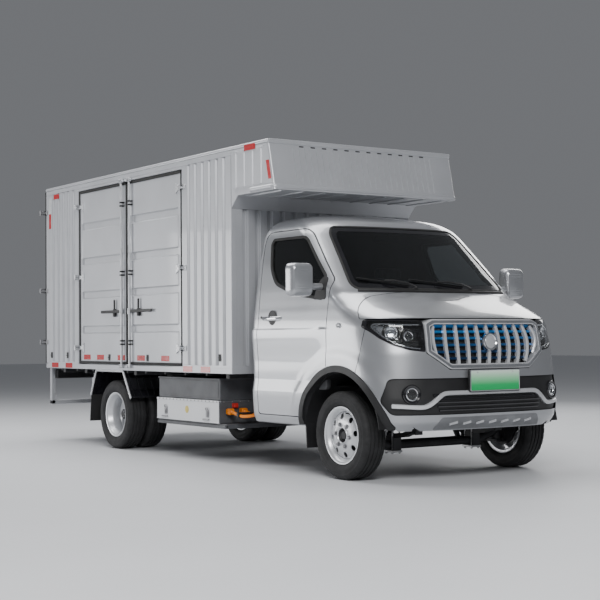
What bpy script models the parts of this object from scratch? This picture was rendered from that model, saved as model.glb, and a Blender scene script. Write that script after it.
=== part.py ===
"""Electric mini truck with a corrugated van body, modelled as an assembly of separate pieces.

Metres, +Z up. The front of the truck faces -Y and its right-hand side is -X. Every piece is drawn with
Y measured back from the front axle; an empty moves them all so that the truck's box is centred on the origin.
"""

from math import cos, pi, radians, sin

import bmesh
import bpy
from mathutils import Matrix, Vector

GAP = 0.0003  # between pieces that touch
SEAM = 0.004  # between body panels
SWING = 0.006  # between a piece that moves and what it moves past

# Wheels and axles
WHEELBASE = 3.36
TYRE_RADIUS = 0.300
TYRE_HALF_WIDTH = 0.0925
RIM_RADIUS = 0.195
RIM_SEAT = 0.1785
RIM_HALF_WIDTH = 0.075
FRONT_WHEEL_X = 0.725
REAR_TWIN_X = 0.6425
TWIN_HALF_SPACING = 0.1025
KINGPIN_X = 0.600
STEERING_ARM = 0.140
AXLE_Z = TYRE_RADIUS

# Chassis
RAIL_X = 0.360
RAIL_WIDTH = 0.060
RAIL_Z = (0.460, 0.580)
RAIL_Y = (-0.470, 4.700)
RAIL_CROSS_Y = (-0.440, 0.620, 1.380, 2.760, 3.060, 3.700, 4.640)

# Cab
CAB_REAR_Y = 1.100
CAB_FLOOR_Z = (0.5803, 0.620)
CAB_SKIN = 0.045
DOOR_THICKNESS = 0.055
GLASS = 0.006
DOOR_FRONT_Y = 0.125
DOOR_REAR_Y = 0.990
DOOR_HINGE_X = 0.834
ARCH_RADIUS = 0.430
ARCH_LINER = 0.030
ARCH_INNER_X = 0.430
BONNET_HINGE = (-0.098, 1.284)  # on the panel's own rear edge, so nothing swings down behind it

# Battery under the frame
BATTERY_Y = (1.575, 2.590)
BATTERY_HALF_WIDTH = 0.820
BATTERY_Z = (0.300, 0.455)
BATTERY_TOP_Z = 0.650

# Cargo body
BOX_HALF_WIDTH = 0.855
BOX_FRONT_Y = 1.323
BOX_REAR_Y = 4.767
BOX_FLOOR_Z = (0.690, 0.735)
DECK_Z = 0.741  # load deck laid on the floor inside the walls
DECK_HALF_WIDTH = 0.800
BOX_TOP_Z = 2.415
WALL = 0.040
ROOF = 0.032
RIB_PITCH = 0.115
RIB_DEPTH = 0.020
RIB_CREST = 0.062
RIB_SLOPE = 0.014
CORNER_POST = 0.055
SIDE_DOOR_Y = (2.090, 4.040)
SIDE_DOOR_HEADER = 0.060
DOOR_LEAF = 0.036
DOOR_RECESS = 0.008
SIDE_PIN_X = 0.884
REAR_PIN_X = 0.900
PIN_RADIUS = 0.009
LOCK_BAR_RADIUS = 0.011
LOCK_BAR_STAND = 0.016
PEAK_TOP_Y = 0.808
PEAK_FOOT_Y = 0.722
PEAK_FLOOR_Z = 2.034
PEAK_GUSSET = 0.094

FRONT_Y = -0.662  # number plate, the foremost piece
REAR_FACE_Y = BOX_REAR_Y + 0.036  # outer face of the rear doors
REAR_END_Y = REAR_FACE_Y + LOCK_BAR_STAND + LOCK_BAR_RADIUS
CENTRE_Y = (FRONT_Y + REAR_END_Y) / 2

PAINT = (0.52, 0.53, 0.55)
BOX_PAINT = (0.56, 0.57, 0.59)
BLACK = (0.02, 0.02, 0.022)


# ---- Making and joining solids ----


def clear_scene():
    for obj in list(bpy.data.objects):
        bpy.data.objects.remove(obj, do_unlink=True)


def solid(bm, name="solid"):
    """An object holding this closed mesh, with its faces turned outwards."""
    bmesh.ops.recalc_face_normals(bm, faces=bm.faces)
    mesh = bpy.data.meshes.new(name)
    bm.to_mesh(mesh)
    bm.free()
    obj = bpy.data.objects.new(name, mesh)
    bpy.context.scene.collection.objects.link(obj)
    return obj


def loft(rings):
    """A closed solid through rings of equally many points, capped at both ends."""
    bm = bmesh.new()
    rows = [[bm.verts.new(point) for point in ring] for ring in rings]
    count = len(rows[0])
    for low, high in zip(rows, rows[1:]):
        for i in range(count):
            j = (i + 1) % count
            bm.faces.new((low[i], low[j], high[j], high[i]))
    bm.faces.new(list(reversed(rows[0])))
    bm.faces.new(rows[-1])
    return solid(bm)


def prism(axis, outline, low, high):
    """An outline in the two other axes, in X, Y, Z order, drawn out along one axis."""
    def place(a, b, c):
        return {"X": (c, a, b), "Y": (a, c, b), "Z": (a, b, c)}[axis]

    return loft([[place(a, b, c) for a, b in outline] for c in (low, high)])


def block(x, y, z):
    return prism("Z", [(x[0], y[0]), (x[1], y[0]), (x[1], y[1]), (x[0], y[1])], z[0], z[1])


def rod(start, end, radius, sides=12):
    """A round bar between two points."""
    start, end = Vector(start), Vector(end)
    turn = (end - start).to_track_quat("Z", "Y").to_matrix()
    circle = [turn @ Vector((radius * cos(2 * pi * i / sides), radius * sin(2 * pi * i / sides), 0))
              for i in range(sides)]
    return loft([[centre + point for point in circle] for centre in (start, end)])


def hoop(rings):
    """A closed ring-shaped solid through rings of points, the last joined to the first."""
    bm = bmesh.new()
    rows = [[bm.verts.new(point) for point in ring] for ring in rings]
    for here, there in zip(rows, rows[1:] + rows[:1]):
        for j in range(len(here)):
            k = (j + 1) % len(here)
            bm.faces.new((here[j], here[k], there[k], there[j]))
    return solid(bm)


def turned(profile, y, z, sides):
    """A closed (x, radius) profile turned about the X direction through (y, z)."""
    angles = [2 * pi * i / sides for i in range(sides)]
    return hoop([[(x, y + r * cos(a), z + r * sin(a)) for x, r in profile] for a in angles])


def boolean(base, operation, others, solver="EXACT"):
    for other in others:
        modifier = base.modifiers.new(operation, "BOOLEAN")
        modifier.operation = operation
        modifier.solver = solver
        modifier.object = other
        graph = bpy.context.evaluated_depsgraph_get()
        mesh = bpy.data.meshes.new_from_object(base.evaluated_get(graph))
        base.modifiers.clear()
        base.data = mesh
        bpy.data.objects.remove(other, do_unlink=True)
    return base


def fuse(base, *others):
    return boolean(base, "UNION", others)


def carve(base, *others):
    return boolean(base, "DIFFERENCE", others)


def common(base, *others):
    return boolean(base, "INTERSECT", others)


def copy_of(obj):
    twin = obj.copy()
    twin.data = obj.data.copy()
    bpy.context.scene.collection.objects.link(twin)
    return twin


def mirrored(obj):
    """The same solid on the other side of the truck."""
    twin = copy_of(obj)
    twin.data.transform(Matrix.Scale(-1, 4, (1, 0, 0)))
    twin.data.flip_normals()
    return twin


def material(name, colour, roughness, metallic=0.0):
    made = bpy.data.materials.get(name) or bpy.data.materials.new(name)
    made.use_nodes = True
    shader = made.node_tree.nodes["Principled BSDF"]
    shader.inputs["Base Color"].default_value = (*colour, 1.0)
    shader.inputs["Roughness"].default_value = roughness
    shader.inputs["Metallic"].default_value = metallic
    return made


MATERIALS = {
    "cab_paint": (PAINT, 0.35, 0.6),
    "box_paint": (BOX_PAINT, 0.45, 0.3),
    "black_plastic": (BLACK, 0.6, 0.0),
    "chassis_black": (BLACK, 0.55, 0.2),
    "glass": ((0.05, 0.06, 0.06), 0.05, 0.0),
    "tyre": ((0.025, 0.025, 0.025), 0.85, 0.0),
    "wheel_silver": ((0.65, 0.66, 0.68), 0.35, 0.7),
    "chrome": ((0.8, 0.8, 0.82), 0.12, 1.0),
    "lamp": ((0.75, 0.78, 0.8), 0.08, 0.1),
    "orange_cable": ((0.9, 0.3, 0.02), 0.5, 0.0),
    "battery_case": ((0.7, 0.71, 0.72), 0.4, 0.4),
    "seat_fabric": ((0.05, 0.05, 0.055), 0.9, 0.0),
    "machined_steel": ((0.45, 0.45, 0.46), 0.4, 0.9),
}


def finish(obj, name, look, pivot=(0, 0, 0)):
    """Names a piece, gives it its material and puts its origin on its pivot."""
    obj.name = obj.data.name = name
    obj.data.materials.clear()
    obj.data.materials.append(material(look, *MATERIALS[look]))
    obj.data.transform(Matrix.Translation(-Vector(pivot)))
    obj.data.shade_smooth()
    obj.data.set_sharp_from_angle(angle=radians(35))
    obj.location = pivot
    obj.parent = truck
    return obj


def both_sides(obj, name, look, pivot=(0, 0, 0)):
    """The piece on the left (+X) and its mirror image on the right."""
    other = mirrored(obj)
    finish(obj, name + "_left", look, pivot)
    finish(other, name + "_right", look, (-pivot[0], pivot[1], pivot[2]))


# ---- Wheels, axles and steering ----

TYRE_PROFILE = (
    (-0.0655, RIM_SEAT + 0.003), (-0.0675, RIM_RADIUS + 0.004), (-TYRE_HALF_WIDTH, 0.238),
    (-0.086, 0.277), (-0.066, TYRE_RADIUS), (0.066, TYRE_RADIUS), (0.086, 0.277),
    (TYRE_HALF_WIDTH, 0.238), (0.0675, RIM_RADIUS + 0.004), (0.0655, RIM_SEAT + 0.003),
)
HUB_BORE = 0.033
TYRE_SIDES = 24
RIM_SIDES = 16


def tyre(x, y):
    return turned([(x + u, r) for u, r in TYRE_PROFILE], y, AXLE_Z, TYRE_SIDES)


def front_rim(x):
    """Barrel, drop centre and a disc that bulges outwards round an open hub."""
    profile = (
        (RIM_HALF_WIDTH, RIM_RADIUS), (0.068, RIM_RADIUS), (0.067, RIM_SEAT), (-0.067, RIM_SEAT),
        (-0.068, RIM_RADIUS), (-RIM_HALF_WIDTH, RIM_RADIUS), (-0.072, 0.171), (-0.018, 0.152),
        (0.020, 0.152), (0.046, 0.105), (0.046, 0.060), (-0.015, 0.055), (-0.015, HUB_BORE),
        (0.070, HUB_BORE), (0.056, 0.062), (0.056, 0.108), (0.040, 0.154), (0.072, 0.172),
    )
    return turned([(x + u, r) for u, r in profile], 0, AXLE_Z, RIM_SIDES)


def twin_rims(x):
    """Two dished rims bolted disc to disc; the half profile starts from the plane where they meet."""
    half = (
        (0.012, 0.134), (0.0275, 0.165), (0.0275, RIM_RADIUS), (0.0345, RIM_RADIUS), (0.0355, RIM_SEAT),
        (0.1695, RIM_SEAT),
        (0.1705, RIM_RADIUS), (0.1775, RIM_RADIUS), (0.1745, 0.171), (0.1205, 0.152), (0.0845, 0.152),
        (0.042, 0.160), (0.012, 0.114), (0.012, 0.052),
    )
    profile = [(x + u, r) for u, r in half] + [(x - u, r) for u, r in reversed(half)]
    return turned(profile, WHEELBASE, AXLE_Z, RIM_SIDES)


def wheels():
    both_sides(tyre(FRONT_WHEEL_X, 0), "front_tyre", "tyre", (FRONT_WHEEL_X, 0, AXLE_Z))
    both_sides(front_rim(FRONT_WHEEL_X), "front_rim", "wheel_silver", (FRONT_WHEEL_X, 0, AXLE_Z))
    both_sides(twin_rims(REAR_TWIN_X), "rear_rims", "wheel_silver", (REAR_TWIN_X, WHEELBASE, AXLE_Z))
    for name, x in (("outer", REAR_TWIN_X + TWIN_HALF_SPACING), ("inner", REAR_TWIN_X - TWIN_HALF_SPACING)):
        both_sides(tyre(x, WHEELBASE), "rear_tyre_" + name, "tyre", (x, WHEELBASE, AXLE_Z))


LUG_LOW_Z = (0.192, 0.210)
LUG_HIGH_Z = (0.378, 0.396)
SPINDLE_END_X = FRONT_WHEEL_X + 0.055


def knuckles():
    """Fork lugs above and below the kingpin boss, spindle, brake disc and steering arm."""
    web_x = (KINGPIN_X + 0.036, KINGPIN_X + 0.056)
    knuckle = block(web_x, (-0.045, 0.045), (LUG_LOW_Z[0], LUG_HIGH_Z[1]))
    lugs = [block((KINGPIN_X - 0.025, web_x[0] + 0.01), (-0.028, 0.028), z) for z in (LUG_LOW_Z, LUG_HIGH_Z)]
    spindle = rod((web_x[0] + 0.01, 0, AXLE_Z), (SPINDLE_END_X, 0, AXLE_Z), HUB_BORE - SWING, 16)
    disc = rod((web_x[1] - 0.005, 0, AXLE_Z), (web_x[1] + 0.016, 0, AXLE_Z), 0.132, 24)
    arm = block((KINGPIN_X - 0.016, KINGPIN_X + 0.016), (0.02, STEERING_ARM + 0.018), LUG_LOW_Z)
    fuse(knuckle, *lugs, spindle, disc, arm)
    both_sides(knuckle, "knuckle", "chassis_black", (KINGPIN_X, 0, AXLE_Z))


def leaf_spring(x, y, half_length, z_ends, z_seat, leaf=0.011):
    """A bowed main leaf over two shorter ones, drawn as one stack."""
    top, under = [], []
    steps = 6
    for i in range(steps + 1):
        u = -1 + 2 * i / steps
        z = z_seat + (z_ends - z_seat) * u * u
        leaves = 3 if abs(u) < 0.5 else 2 if abs(u) < 0.8 else 1
        top.append((y + u * half_length, z + 3 * leaf))
        under.append((y + u * half_length, z + (3 - leaves) * leaf))
    return prism("X", top + under[::-1], x - 0.028, x + 0.028)


SPRING_Z_ENDS = 0.400


def front_axle():
    """Dropped tubular beam with kingpin bosses, under two leaf springs."""
    drop_x, low_z, high_z = 0.43, 0.215, 0.282
    beam = rod((-drop_x, 0, low_z), (drop_x, 0, low_z), 0.030)
    for side in (1, -1):
        x = side * RAIL_X
        parts = [
            rod((side * (drop_x - 0.02), 0, low_z), (side * (KINGPIN_X - 0.01), 0, high_z), 0.033, 14),
            rod((side * KINGPIN_X, 0, LUG_LOW_Z[1] + 0.004), (side * KINGPIN_X, 0, LUG_HIGH_Z[0] - 0.004), 0.027),
            block((x - 0.035, x + 0.035), (-0.05, 0.05), (low_z - 0.045, low_z + 0.062)),
            leaf_spring(x, 0.02, 0.50, SPRING_Z_ENDS, low_z + 0.045),
        ]
        for end in (-0.475, 0.515):
            parts.append(block((x - 0.022, x + 0.022), (end - 0.022, end + 0.022), (SPRING_Z_ENDS, RAIL_Z[0] - GAP)))
        fuse(beam, *parts)
    finish(beam, "front_axle", "chassis_black", (0, 0, AXLE_Z))


TIE_ROD_Z = LUG_LOW_Z[1] + SWING + 0.011
TIE_ROD_RADIUS = 0.011


def tie_rod():
    reach = KINGPIN_X + 0.004
    bar = rod((-reach, STEERING_ARM, TIE_ROD_Z), (reach, STEERING_ARM, TIE_ROD_Z), TIE_ROD_RADIUS)
    finish(bar, "tie_rod", "machined_steel", (-KINGPIN_X, STEERING_ARM, TIE_ROD_Z))


def rear_axle():
    """Axle tube, drive unit block and leaf springs."""
    y = WHEELBASE
    end = REAR_TWIN_X + 0.060
    axle = rod((-end, y, AXLE_Z), (end, y, AXLE_Z), 0.043, 16)
    motor = rod((-0.10, y - 0.03, 0.305), (0.24, y - 0.03, 0.305), 0.130, 20)
    gearbox = block((-0.17, -0.06), (y - 0.17, y + 0.12), (0.185, 0.420))
    fuse(axle, motor, gearbox)
    for x in (RAIL_X, -RAIL_X):
        parts = [
            block((x - 0.035, x + 0.035), (y - 0.06, y + 0.06), (AXLE_Z - 0.060, AXLE_Z + 0.062)),
            leaf_spring(x, y, 0.56, 0.415, AXLE_Z + 0.046, 0.013),
        ]
        for end_y in (y - 0.535, y + 0.535):
            parts.append(block((x - 0.022, x + 0.022), (end_y - 0.022, end_y + 0.022), (0.42, RAIL_Z[0] - GAP)))
        fuse(axle, *parts)
    finish(axle, "rear_axle", "chassis_black", (0, y, AXLE_Z))


# ---- Chassis, battery and what hangs below the body ----


def chassis_frame():
    """Ladder frame: two rails, tubes across them and the bumper mounting plate."""
    inner, outer = RAIL_X - RAIL_WIDTH / 2, RAIL_X + RAIL_WIDTH / 2
    frame = block((inner, outer), RAIL_Y, RAIL_Z)
    fuse(frame, block((-outer, -inner), RAIL_Y, RAIL_Z))
    for y in RAIL_CROSS_Y:
        fuse(frame, block((-inner - 0.01, inner + 0.01), (y - 0.03, y + 0.03), (RAIL_Z[0] + 0.02, RAIL_Z[1] - 0.02)))
    fuse(frame, block((-0.52, 0.52), (RAIL_Y[0] - 0.02, RAIL_Y[0] + 0.02), (RAIL_Z[0] + 0.01, RAIL_Z[1] - 0.01)))
    finish(frame, "chassis_frame", "chassis_black")


def battery_pack():
    """Flat case under the rails that steps up outboard of them into a cover on each side."""
    wide = (-BATTERY_HALF_WIDTH, BATTERY_HALF_WIDTH)
    pack = block(wide, BATTERY_Y, BATTERY_Z)
    tray = block((wide[0] + 0.03, wide[1] - 0.03), (BATTERY_Y[0] - 0.09, BATTERY_Y[1]), (0.265, BATTERY_Z[0] + 0.01))
    fuse(pack, tray)
    rail_clear = RAIL_X + RAIL_WIDTH / 2 + 0.02
    for side in (1, -1):
        step = sorted((side * rail_clear, side * BATTERY_HALF_WIDTH))
        cover = sorted((side * (rail_clear + 0.005), side * (BATTERY_HALF_WIDTH - 0.02)))
        fuse(
            pack,
            block(step, BATTERY_Y, (BATTERY_Z[1] - 0.01, BATTERY_Z[1] + 0.025)),
            block(cover, (BATTERY_Y[0] + 0.02, BATTERY_Y[1]), (BATTERY_Z[1], BATTERY_TOP_Z)),
        )
    finish(pack, "battery_pack", "battery_case")


JUNCTION_Y = (0.960, 1.080)
JUNCTION_X = (-0.560, RAIL_X * -1 - RAIL_WIDTH / 2 - GAP)
JUNCTION_Z = (0.420, 0.560)


def junction_box():
    """High-voltage connection box on the outside of the right rail, behind the cab."""
    finish(block(JUNCTION_X, JUNCTION_Y, JUNCTION_Z), "junction_box", "chassis_black")


CABLE_RADIUS = 0.013


def hv_cables():
    """Two orange cables from the battery's front face to the junction box, in one clip."""
    box_y = JUNCTION_Y[1] + GAP
    start_y = BATTERY_Y[0] - GAP
    routes = (
        ((-0.74, start_y, 0.395), (-0.74, 1.50, 0.390), (-0.725, 1.38, 0.365), (-0.66, 1.26, 0.385),
         (-0.56, 1.18, 0.440), (-0.520, 1.13, 0.460), (-0.515, box_y, 0.462)),
        ((-0.62, start_y, 0.395), (-0.62, 1.50, 0.390), (-0.610, 1.38, 0.372), (-0.57, 1.26, 0.390),
         (-0.48, 1.18, 0.470), (-0.452, 1.13, 0.500), (-0.450, box_y, 0.505)),
    )
    bundle = None
    for route in routes:
        points = smooth_route([Vector(point) for point in route], 2)
        cable = swept(points, CABLE_RADIUS, 6)
        plug = block(
            (route[0][0] - 0.028, route[0][0] + 0.028), (start_y - 0.055, start_y), (0.370, 0.420)
        )
        fuse(cable, plug)
        bundle = fuse(bundle, cable) if bundle else cable
    fuse(bundle, block((-0.755, -0.585), (1.405, 1.435), (0.352, 0.394)))
    finish(bundle, "hv_cables", "orange_cable")


def smooth_route(points, steps):
    """Catmull-Rom points through a route."""
    ends = [2 * points[0] - points[1]] + points + [2 * points[-1] - points[-2]]
    out = []
    for a, b, c, d in zip(ends, ends[1:], ends[2:], ends[3:]):
        for i in range(steps):
            t = i / steps
            out.append(0.5 * (2 * b + (c - a) * t + (2 * a - 5 * b + 4 * c - d) * t * t
                              + (3 * b - a - 3 * c + d) * t * t * t))
    return out + [points[-1]]


def swept(points, radius, sides):
    """A round tube along a route that runs mostly fore and aft, its ends square to Y."""
    rings = []
    for i, point in enumerate(points):
        ahead = points[min(i + 1, len(points) - 1)] - points[max(i - 1, 0)]
        if i in (0, len(points) - 1):
            ahead = Vector((0, ahead.y, 0))
        across = Vector((0, 0, 1)).cross(ahead).normalized()
        over = ahead.cross(across).normalized()
        rings.append([point + radius * (cos(2 * pi * k / sides) * across + sin(2 * pi * k / sides) * over)
                      for k in range(sides)])
    return loft(rings)


def rear_mudguards():
    """A bent sheet round the front, top and back of the twin tyres, with a hanging flap behind."""
    sheet = 0.008
    top = BOX_FLOOR_Z[0] - GAP
    line = [(3.015, 0.455), (3.165, top), (3.700, top), (3.815, 0.460), (3.845, 0.220)]
    outline = line + [
        (line[4][0] - sheet, line[4][1]), (line[3][0] - 1.1 * sheet, line[3][1]),
        (line[2][0] - 0.6 * sheet, top - sheet), (line[1][0] + 0.7 * sheet, top - sheet),
        (line[0][0] + 1.15 * sheet, line[0][1]),
    ]
    guard = prism("X", outline, RAIL_X + RAIL_WIDTH / 2 + 0.04, BOX_HALF_WIDTH - 0.01)
    both_sides(guard, "rear_mudguard", "black_plastic")


def rear_underrun():
    """Square-tube guard that hangs from the body's rear corners and carries the tail lamps."""
    tube, post_x, y = 0.040, 0.800, BOX_REAR_Y
    bar_z = 0.338
    guard = block((-post_x - tube / 2, post_x + tube / 2), (y - tube, y), (bar_z, bar_z + tube))
    for side in (1, -1):
        post = sorted((side * (post_x - tube / 2), side * (post_x + tube / 2)))
        lamp = sorted((side * 0.40, side * post_x))
        stay = sorted((side * (RAIL_X - 0.02), side * (RAIL_X + 0.02)))
        fuse(
            guard,
            block(post, (y - tube, y), (bar_z, BOX_FLOOR_Z[0] - GAP)),
            block(lamp, (y - 0.085, y - 0.012), (0.585, BOX_FLOOR_Z[0] - 0.012)),
            block(stay, (RAIL_Y[1] + GAP, y - 0.004), (bar_z + 0.005, 0.60)),
            block(sorted((side * 0.34, side * 0.42)), (RAIL_Y[1] + GAP, y - 0.03), (0.585, 0.62)),
        )
    finish(guard, "rear_underrun", "box_paint")


# ---- Cargo body ----


def ribbed_edge(start, end, face, inward):
    """Points along one outer face, pressed into trapezoid ribs between its two ends."""
    count = max(1, round((end - start) / RIB_PITCH))
    pitch = (end - start) / count
    valley = pitch - RIB_CREST - 2 * RIB_SLOPE
    points = [(start, face)]
    at = start + RIB_CREST / 2
    for _ in range(count):
        points += [(at, face), (at + RIB_SLOPE, face + inward), (at + RIB_SLOPE + valley, face + inward),
                   (at + 2 * RIB_SLOPE + valley, face)]
        at += pitch
    return points + [(end, face)]


def side_panel(y0, y1, z0, z1):
    """A stretch of left-hand wall, ribbed outside and flat inside, with square posts at both ends."""
    edge = ribbed_edge(y0 + CORNER_POST, y1 - CORNER_POST, BOX_HALF_WIDTH, -RIB_DEPTH)
    outline = [(BOX_HALF_WIDTH, y0)] + [(x, y) for y, x in edge] + [(BOX_HALF_WIDTH, y1)]
    outline += [(BOX_HALF_WIDTH - WALL, y1), (BOX_HALF_WIDTH - WALL, y0)]
    return prism("Z", outline, z0, z1)


def cargo_floor():
    """Floor plate and raised deck on cross bearers and two runners that sit on the frame rails."""
    half = BOX_HALF_WIDTH
    floor = block((-half, half), (BOX_FRONT_Y, BOX_REAR_Y), BOX_FLOOR_Z)
    deck_y = (BOX_FRONT_Y + WALL + 0.010, REAR_FRAME_Y - 0.010)
    fuse(floor, block((-DECK_HALF_WIDTH, DECK_HALF_WIDTH), deck_y, (BOX_FLOOR_Z[0] + 0.01, DECK_Z)))
    for side in (1, -1):
        x = sorted((side * (RAIL_X - RAIL_WIDTH / 2), side * (RAIL_X + RAIL_WIDTH / 2)))
        fuse(floor, block(x, (BOX_FRONT_Y + 0.03, RAIL_Y[1] - 0.01), (RAIL_Z[1] + GAP, BOX_FLOOR_Z[0] + 0.01)))
    for y in (1.42, 2.95, 3.93, 4.40):
        fuse(floor, block((-half + 0.02, half - 0.02), (y - 0.025, y + 0.025), (0.652, BOX_FLOOR_Z[0] + 0.01)))
    finish(floor, "cargo_floor", "box_paint")


WALL_Z = (BOX_FLOOR_Z[1] + GAP, BOX_TOP_Z - ROOF - GAP)
REAR_FRAME_Y = BOX_REAR_Y - 0.060


def cargo_walls():
    end = REAR_FRAME_Y - GAP
    finish(side_panel(BOX_FRONT_Y, end, *WALL_Z), "cargo_wall_left", "box_paint")
    wall = fuse(
        side_panel(BOX_FRONT_Y, SIDE_DOOR_Y[0], *WALL_Z),
        side_panel(SIDE_DOOR_Y[1], end, *WALL_Z),
        block(
            (BOX_HALF_WIDTH - WALL, BOX_HALF_WIDTH), (SIDE_DOOR_Y[0] - 0.02, SIDE_DOOR_Y[1] + 0.02),
            (WALL_Z[1] - SIDE_DOOR_HEADER, WALL_Z[1]),
        ),
    )
    right = mirrored(wall)
    bpy.data.objects.remove(wall, do_unlink=True)
    finish(right, "cargo_wall_right", "box_paint")


def cargo_front_wall():
    half = BOX_HALF_WIDTH - WALL - GAP
    edge = ribbed_edge(-half + 0.03, half - 0.03, BOX_FRONT_Y, RIB_DEPTH)
    outline = [(-half, BOX_FRONT_Y)] + edge + [(half, BOX_FRONT_Y)]
    outline += [(half, BOX_FRONT_Y + WALL), (-half, BOX_FRONT_Y + WALL)]
    wall = prism("Z", outline, WALL_Z[0], PEAK_FLOOR_Z - PEAK_GUSSET - GAP)
    finish(wall, "cargo_front_wall", "box_paint")


def cargo_peak():
    """Shell over the cab roof with a forward-leaning face, open at its back into the body."""
    top = BOX_TOP_Z - ROOF - GAP
    back = BOX_FRONT_Y - GAP
    lean = (PEAK_TOP_Y - PEAK_FOOT_Y) / (BOX_TOP_Z - PEAK_FLOOR_Z)
    outer = [
        (PEAK_FOOT_Y, PEAK_FLOOR_Z), (back - PEAK_GUSSET, PEAK_FLOOR_Z), (back, PEAK_FLOOR_Z - PEAK_GUSSET),
        (back, top), (PEAK_FOOT_Y + lean * (top - PEAK_FLOOR_Z), top),
    ]
    skin = 0.030
    floor = PEAK_FLOOR_Z + skin
    inner = [
        (PEAK_FOOT_Y + 1.1 * skin, floor), (back - PEAK_GUSSET, floor),
        (back + 0.1, floor - 0.1 - PEAK_GUSSET + 0.006), (back + 0.1, top + 0.1),
        (PEAK_FOOT_Y + 1.1 * skin + lean * (top + 0.1 - PEAK_FLOOR_Z), top + 0.1),
    ]
    half = BOX_HALF_WIDTH
    peak = prism("X", outer, -half, half)
    carve(peak, prism("X", inner, -half + skin, half - skin))
    finish(peak, "cargo_peak", "box_paint")


def cargo_roof():
    half = BOX_HALF_WIDTH + 0.004
    finish(
        block((-half, half), (PEAK_TOP_Y - 0.008, BOX_REAR_Y), (BOX_TOP_Z - ROOF, BOX_TOP_Z)), "cargo_roof", "box_paint"
    )


REAR_OPENING_X = BOX_HALF_WIDTH - 0.062
REAR_OPENING_Z = (BOX_FLOOR_Z[1] + 0.020, WALL_Z[1] - 0.060)


def cargo_rear_frame():
    half = BOX_HALF_WIDTH
    frame = block((-half, half), (REAR_FRAME_Y, BOX_REAR_Y), WALL_Z)
    opening = block((-REAR_OPENING_X, REAR_OPENING_X), (REAR_FRAME_Y - 0.1, BOX_REAR_Y + 0.1), REAR_OPENING_Z)
    finish(carve(frame, opening), "cargo_rear_frame", "box_paint")


HINGE_FRACTIONS = (0.09, 0.50, 0.91)
REAR_HINGE_FRACTIONS = (0.12, 0.42, 0.88)
STRAP_HEIGHT = 0.045
STRAP = 0.010


def lock_bar(x, y, z0, z1, out, bands):
    """A vertical locking bar on brackets that stand off the door's face."""
    out = Vector(out)
    centre = Vector((x, y)) + out * LOCK_BAR_STAND
    parts = [rod((centre.x, centre.y, z0), (centre.x, centre.y, z1), LOCK_BAR_RADIUS, 12)]
    side = Vector((-out.y, out.x))
    for z in bands:
        base = Vector((x, y)) - out * 0.004
        corners = [base + side * 0.018, base - side * 0.018, centre - side * 0.018, centre + side * 0.018]
        parts.append(prism("Z", [(c.x, c.y) for c in corners], z - 0.022, z + 0.022))
    return parts


SIDE_DOOR_Z = (BOX_FLOOR_Z[1] + SWING, WALL_Z[1] - SIDE_DOOR_HEADER - SWING)
SIDE_FACE_X = BOX_HALF_WIDTH - DOOR_RECESS


def side_doors():
    """Two leaves in the right-hand wall; each swings right back against the wall on strap hinges."""
    middle = sum(SIDE_DOOR_Y) / 2
    height = SIDE_DOOR_Z[1] - SIDE_DOOR_Z[0]
    bands = [SIDE_DOOR_Z[0] + height * f for f in (0.12, 0.5, 0.88)]
    for name, hinge_y, way in (("side_door_front", SIDE_DOOR_Y[0], 1), ("side_door_rear", SIDE_DOOR_Y[1], -1)):
        y = sorted((hinge_y + way * SWING, middle - way * SWING / 2))
        leaf = block((-SIDE_FACE_X, -SIDE_FACE_X + DOOR_LEAF), y, SIDE_DOOR_Z)
        pin = (-SIDE_PIN_X, hinge_y - way * 0.012)
        out = (-1, 0)
        for fraction in HINGE_FRACTIONS:
            z = SIDE_DOOR_Z[0] + height * fraction
            door = (-SIDE_FACE_X, hinge_y + way * SWING)
            fuse(leaf, side_strap(pin, door, z, way))
        bar_y = middle - way * 0.075
        fuse(leaf, *lock_bar(-SIDE_FACE_X, bar_y, SIDE_DOOR_Z[0] + 0.004, SIDE_DOOR_Z[1] - 0.004, out, bands))
        finish(leaf, name, "box_paint", (pin[0], pin[1], sum(SIDE_DOOR_Z) / 2))


def side_strap(pin, door, z, way):
    """Pin knuckle, a web back to the door's face and a strap lying on it."""
    low, high = z - STRAP_HEIGHT / 2, z + STRAP_HEIGHT / 2
    knuckle = rod((pin[0], pin[1], low), (pin[0], pin[1], high), PIN_RADIUS, 10)
    face = -SIDE_FACE_X
    outline = [
        (pin[0] - PIN_RADIUS * 0.6, pin[1]), (pin[0] + PIN_RADIUS * 0.6, pin[1]),
        (face - STRAP, door[1] + way * 0.004), (face + 0.006, door[1] + way * 0.004),
        (face + 0.006, door[1] + way * 0.090), (face - STRAP, door[1] + way * 0.090),
        (face - STRAP - 0.002, door[1] + way * 0.030),
    ]
    if way > 0:
        outline = outline[::-1]
    return fuse(knuckle, prism("Z", outline, low, high))


REAR_DOOR_Z = (BOX_FLOOR_Z[1] + 0.004, WALL_Z[1] - 0.004)


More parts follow.
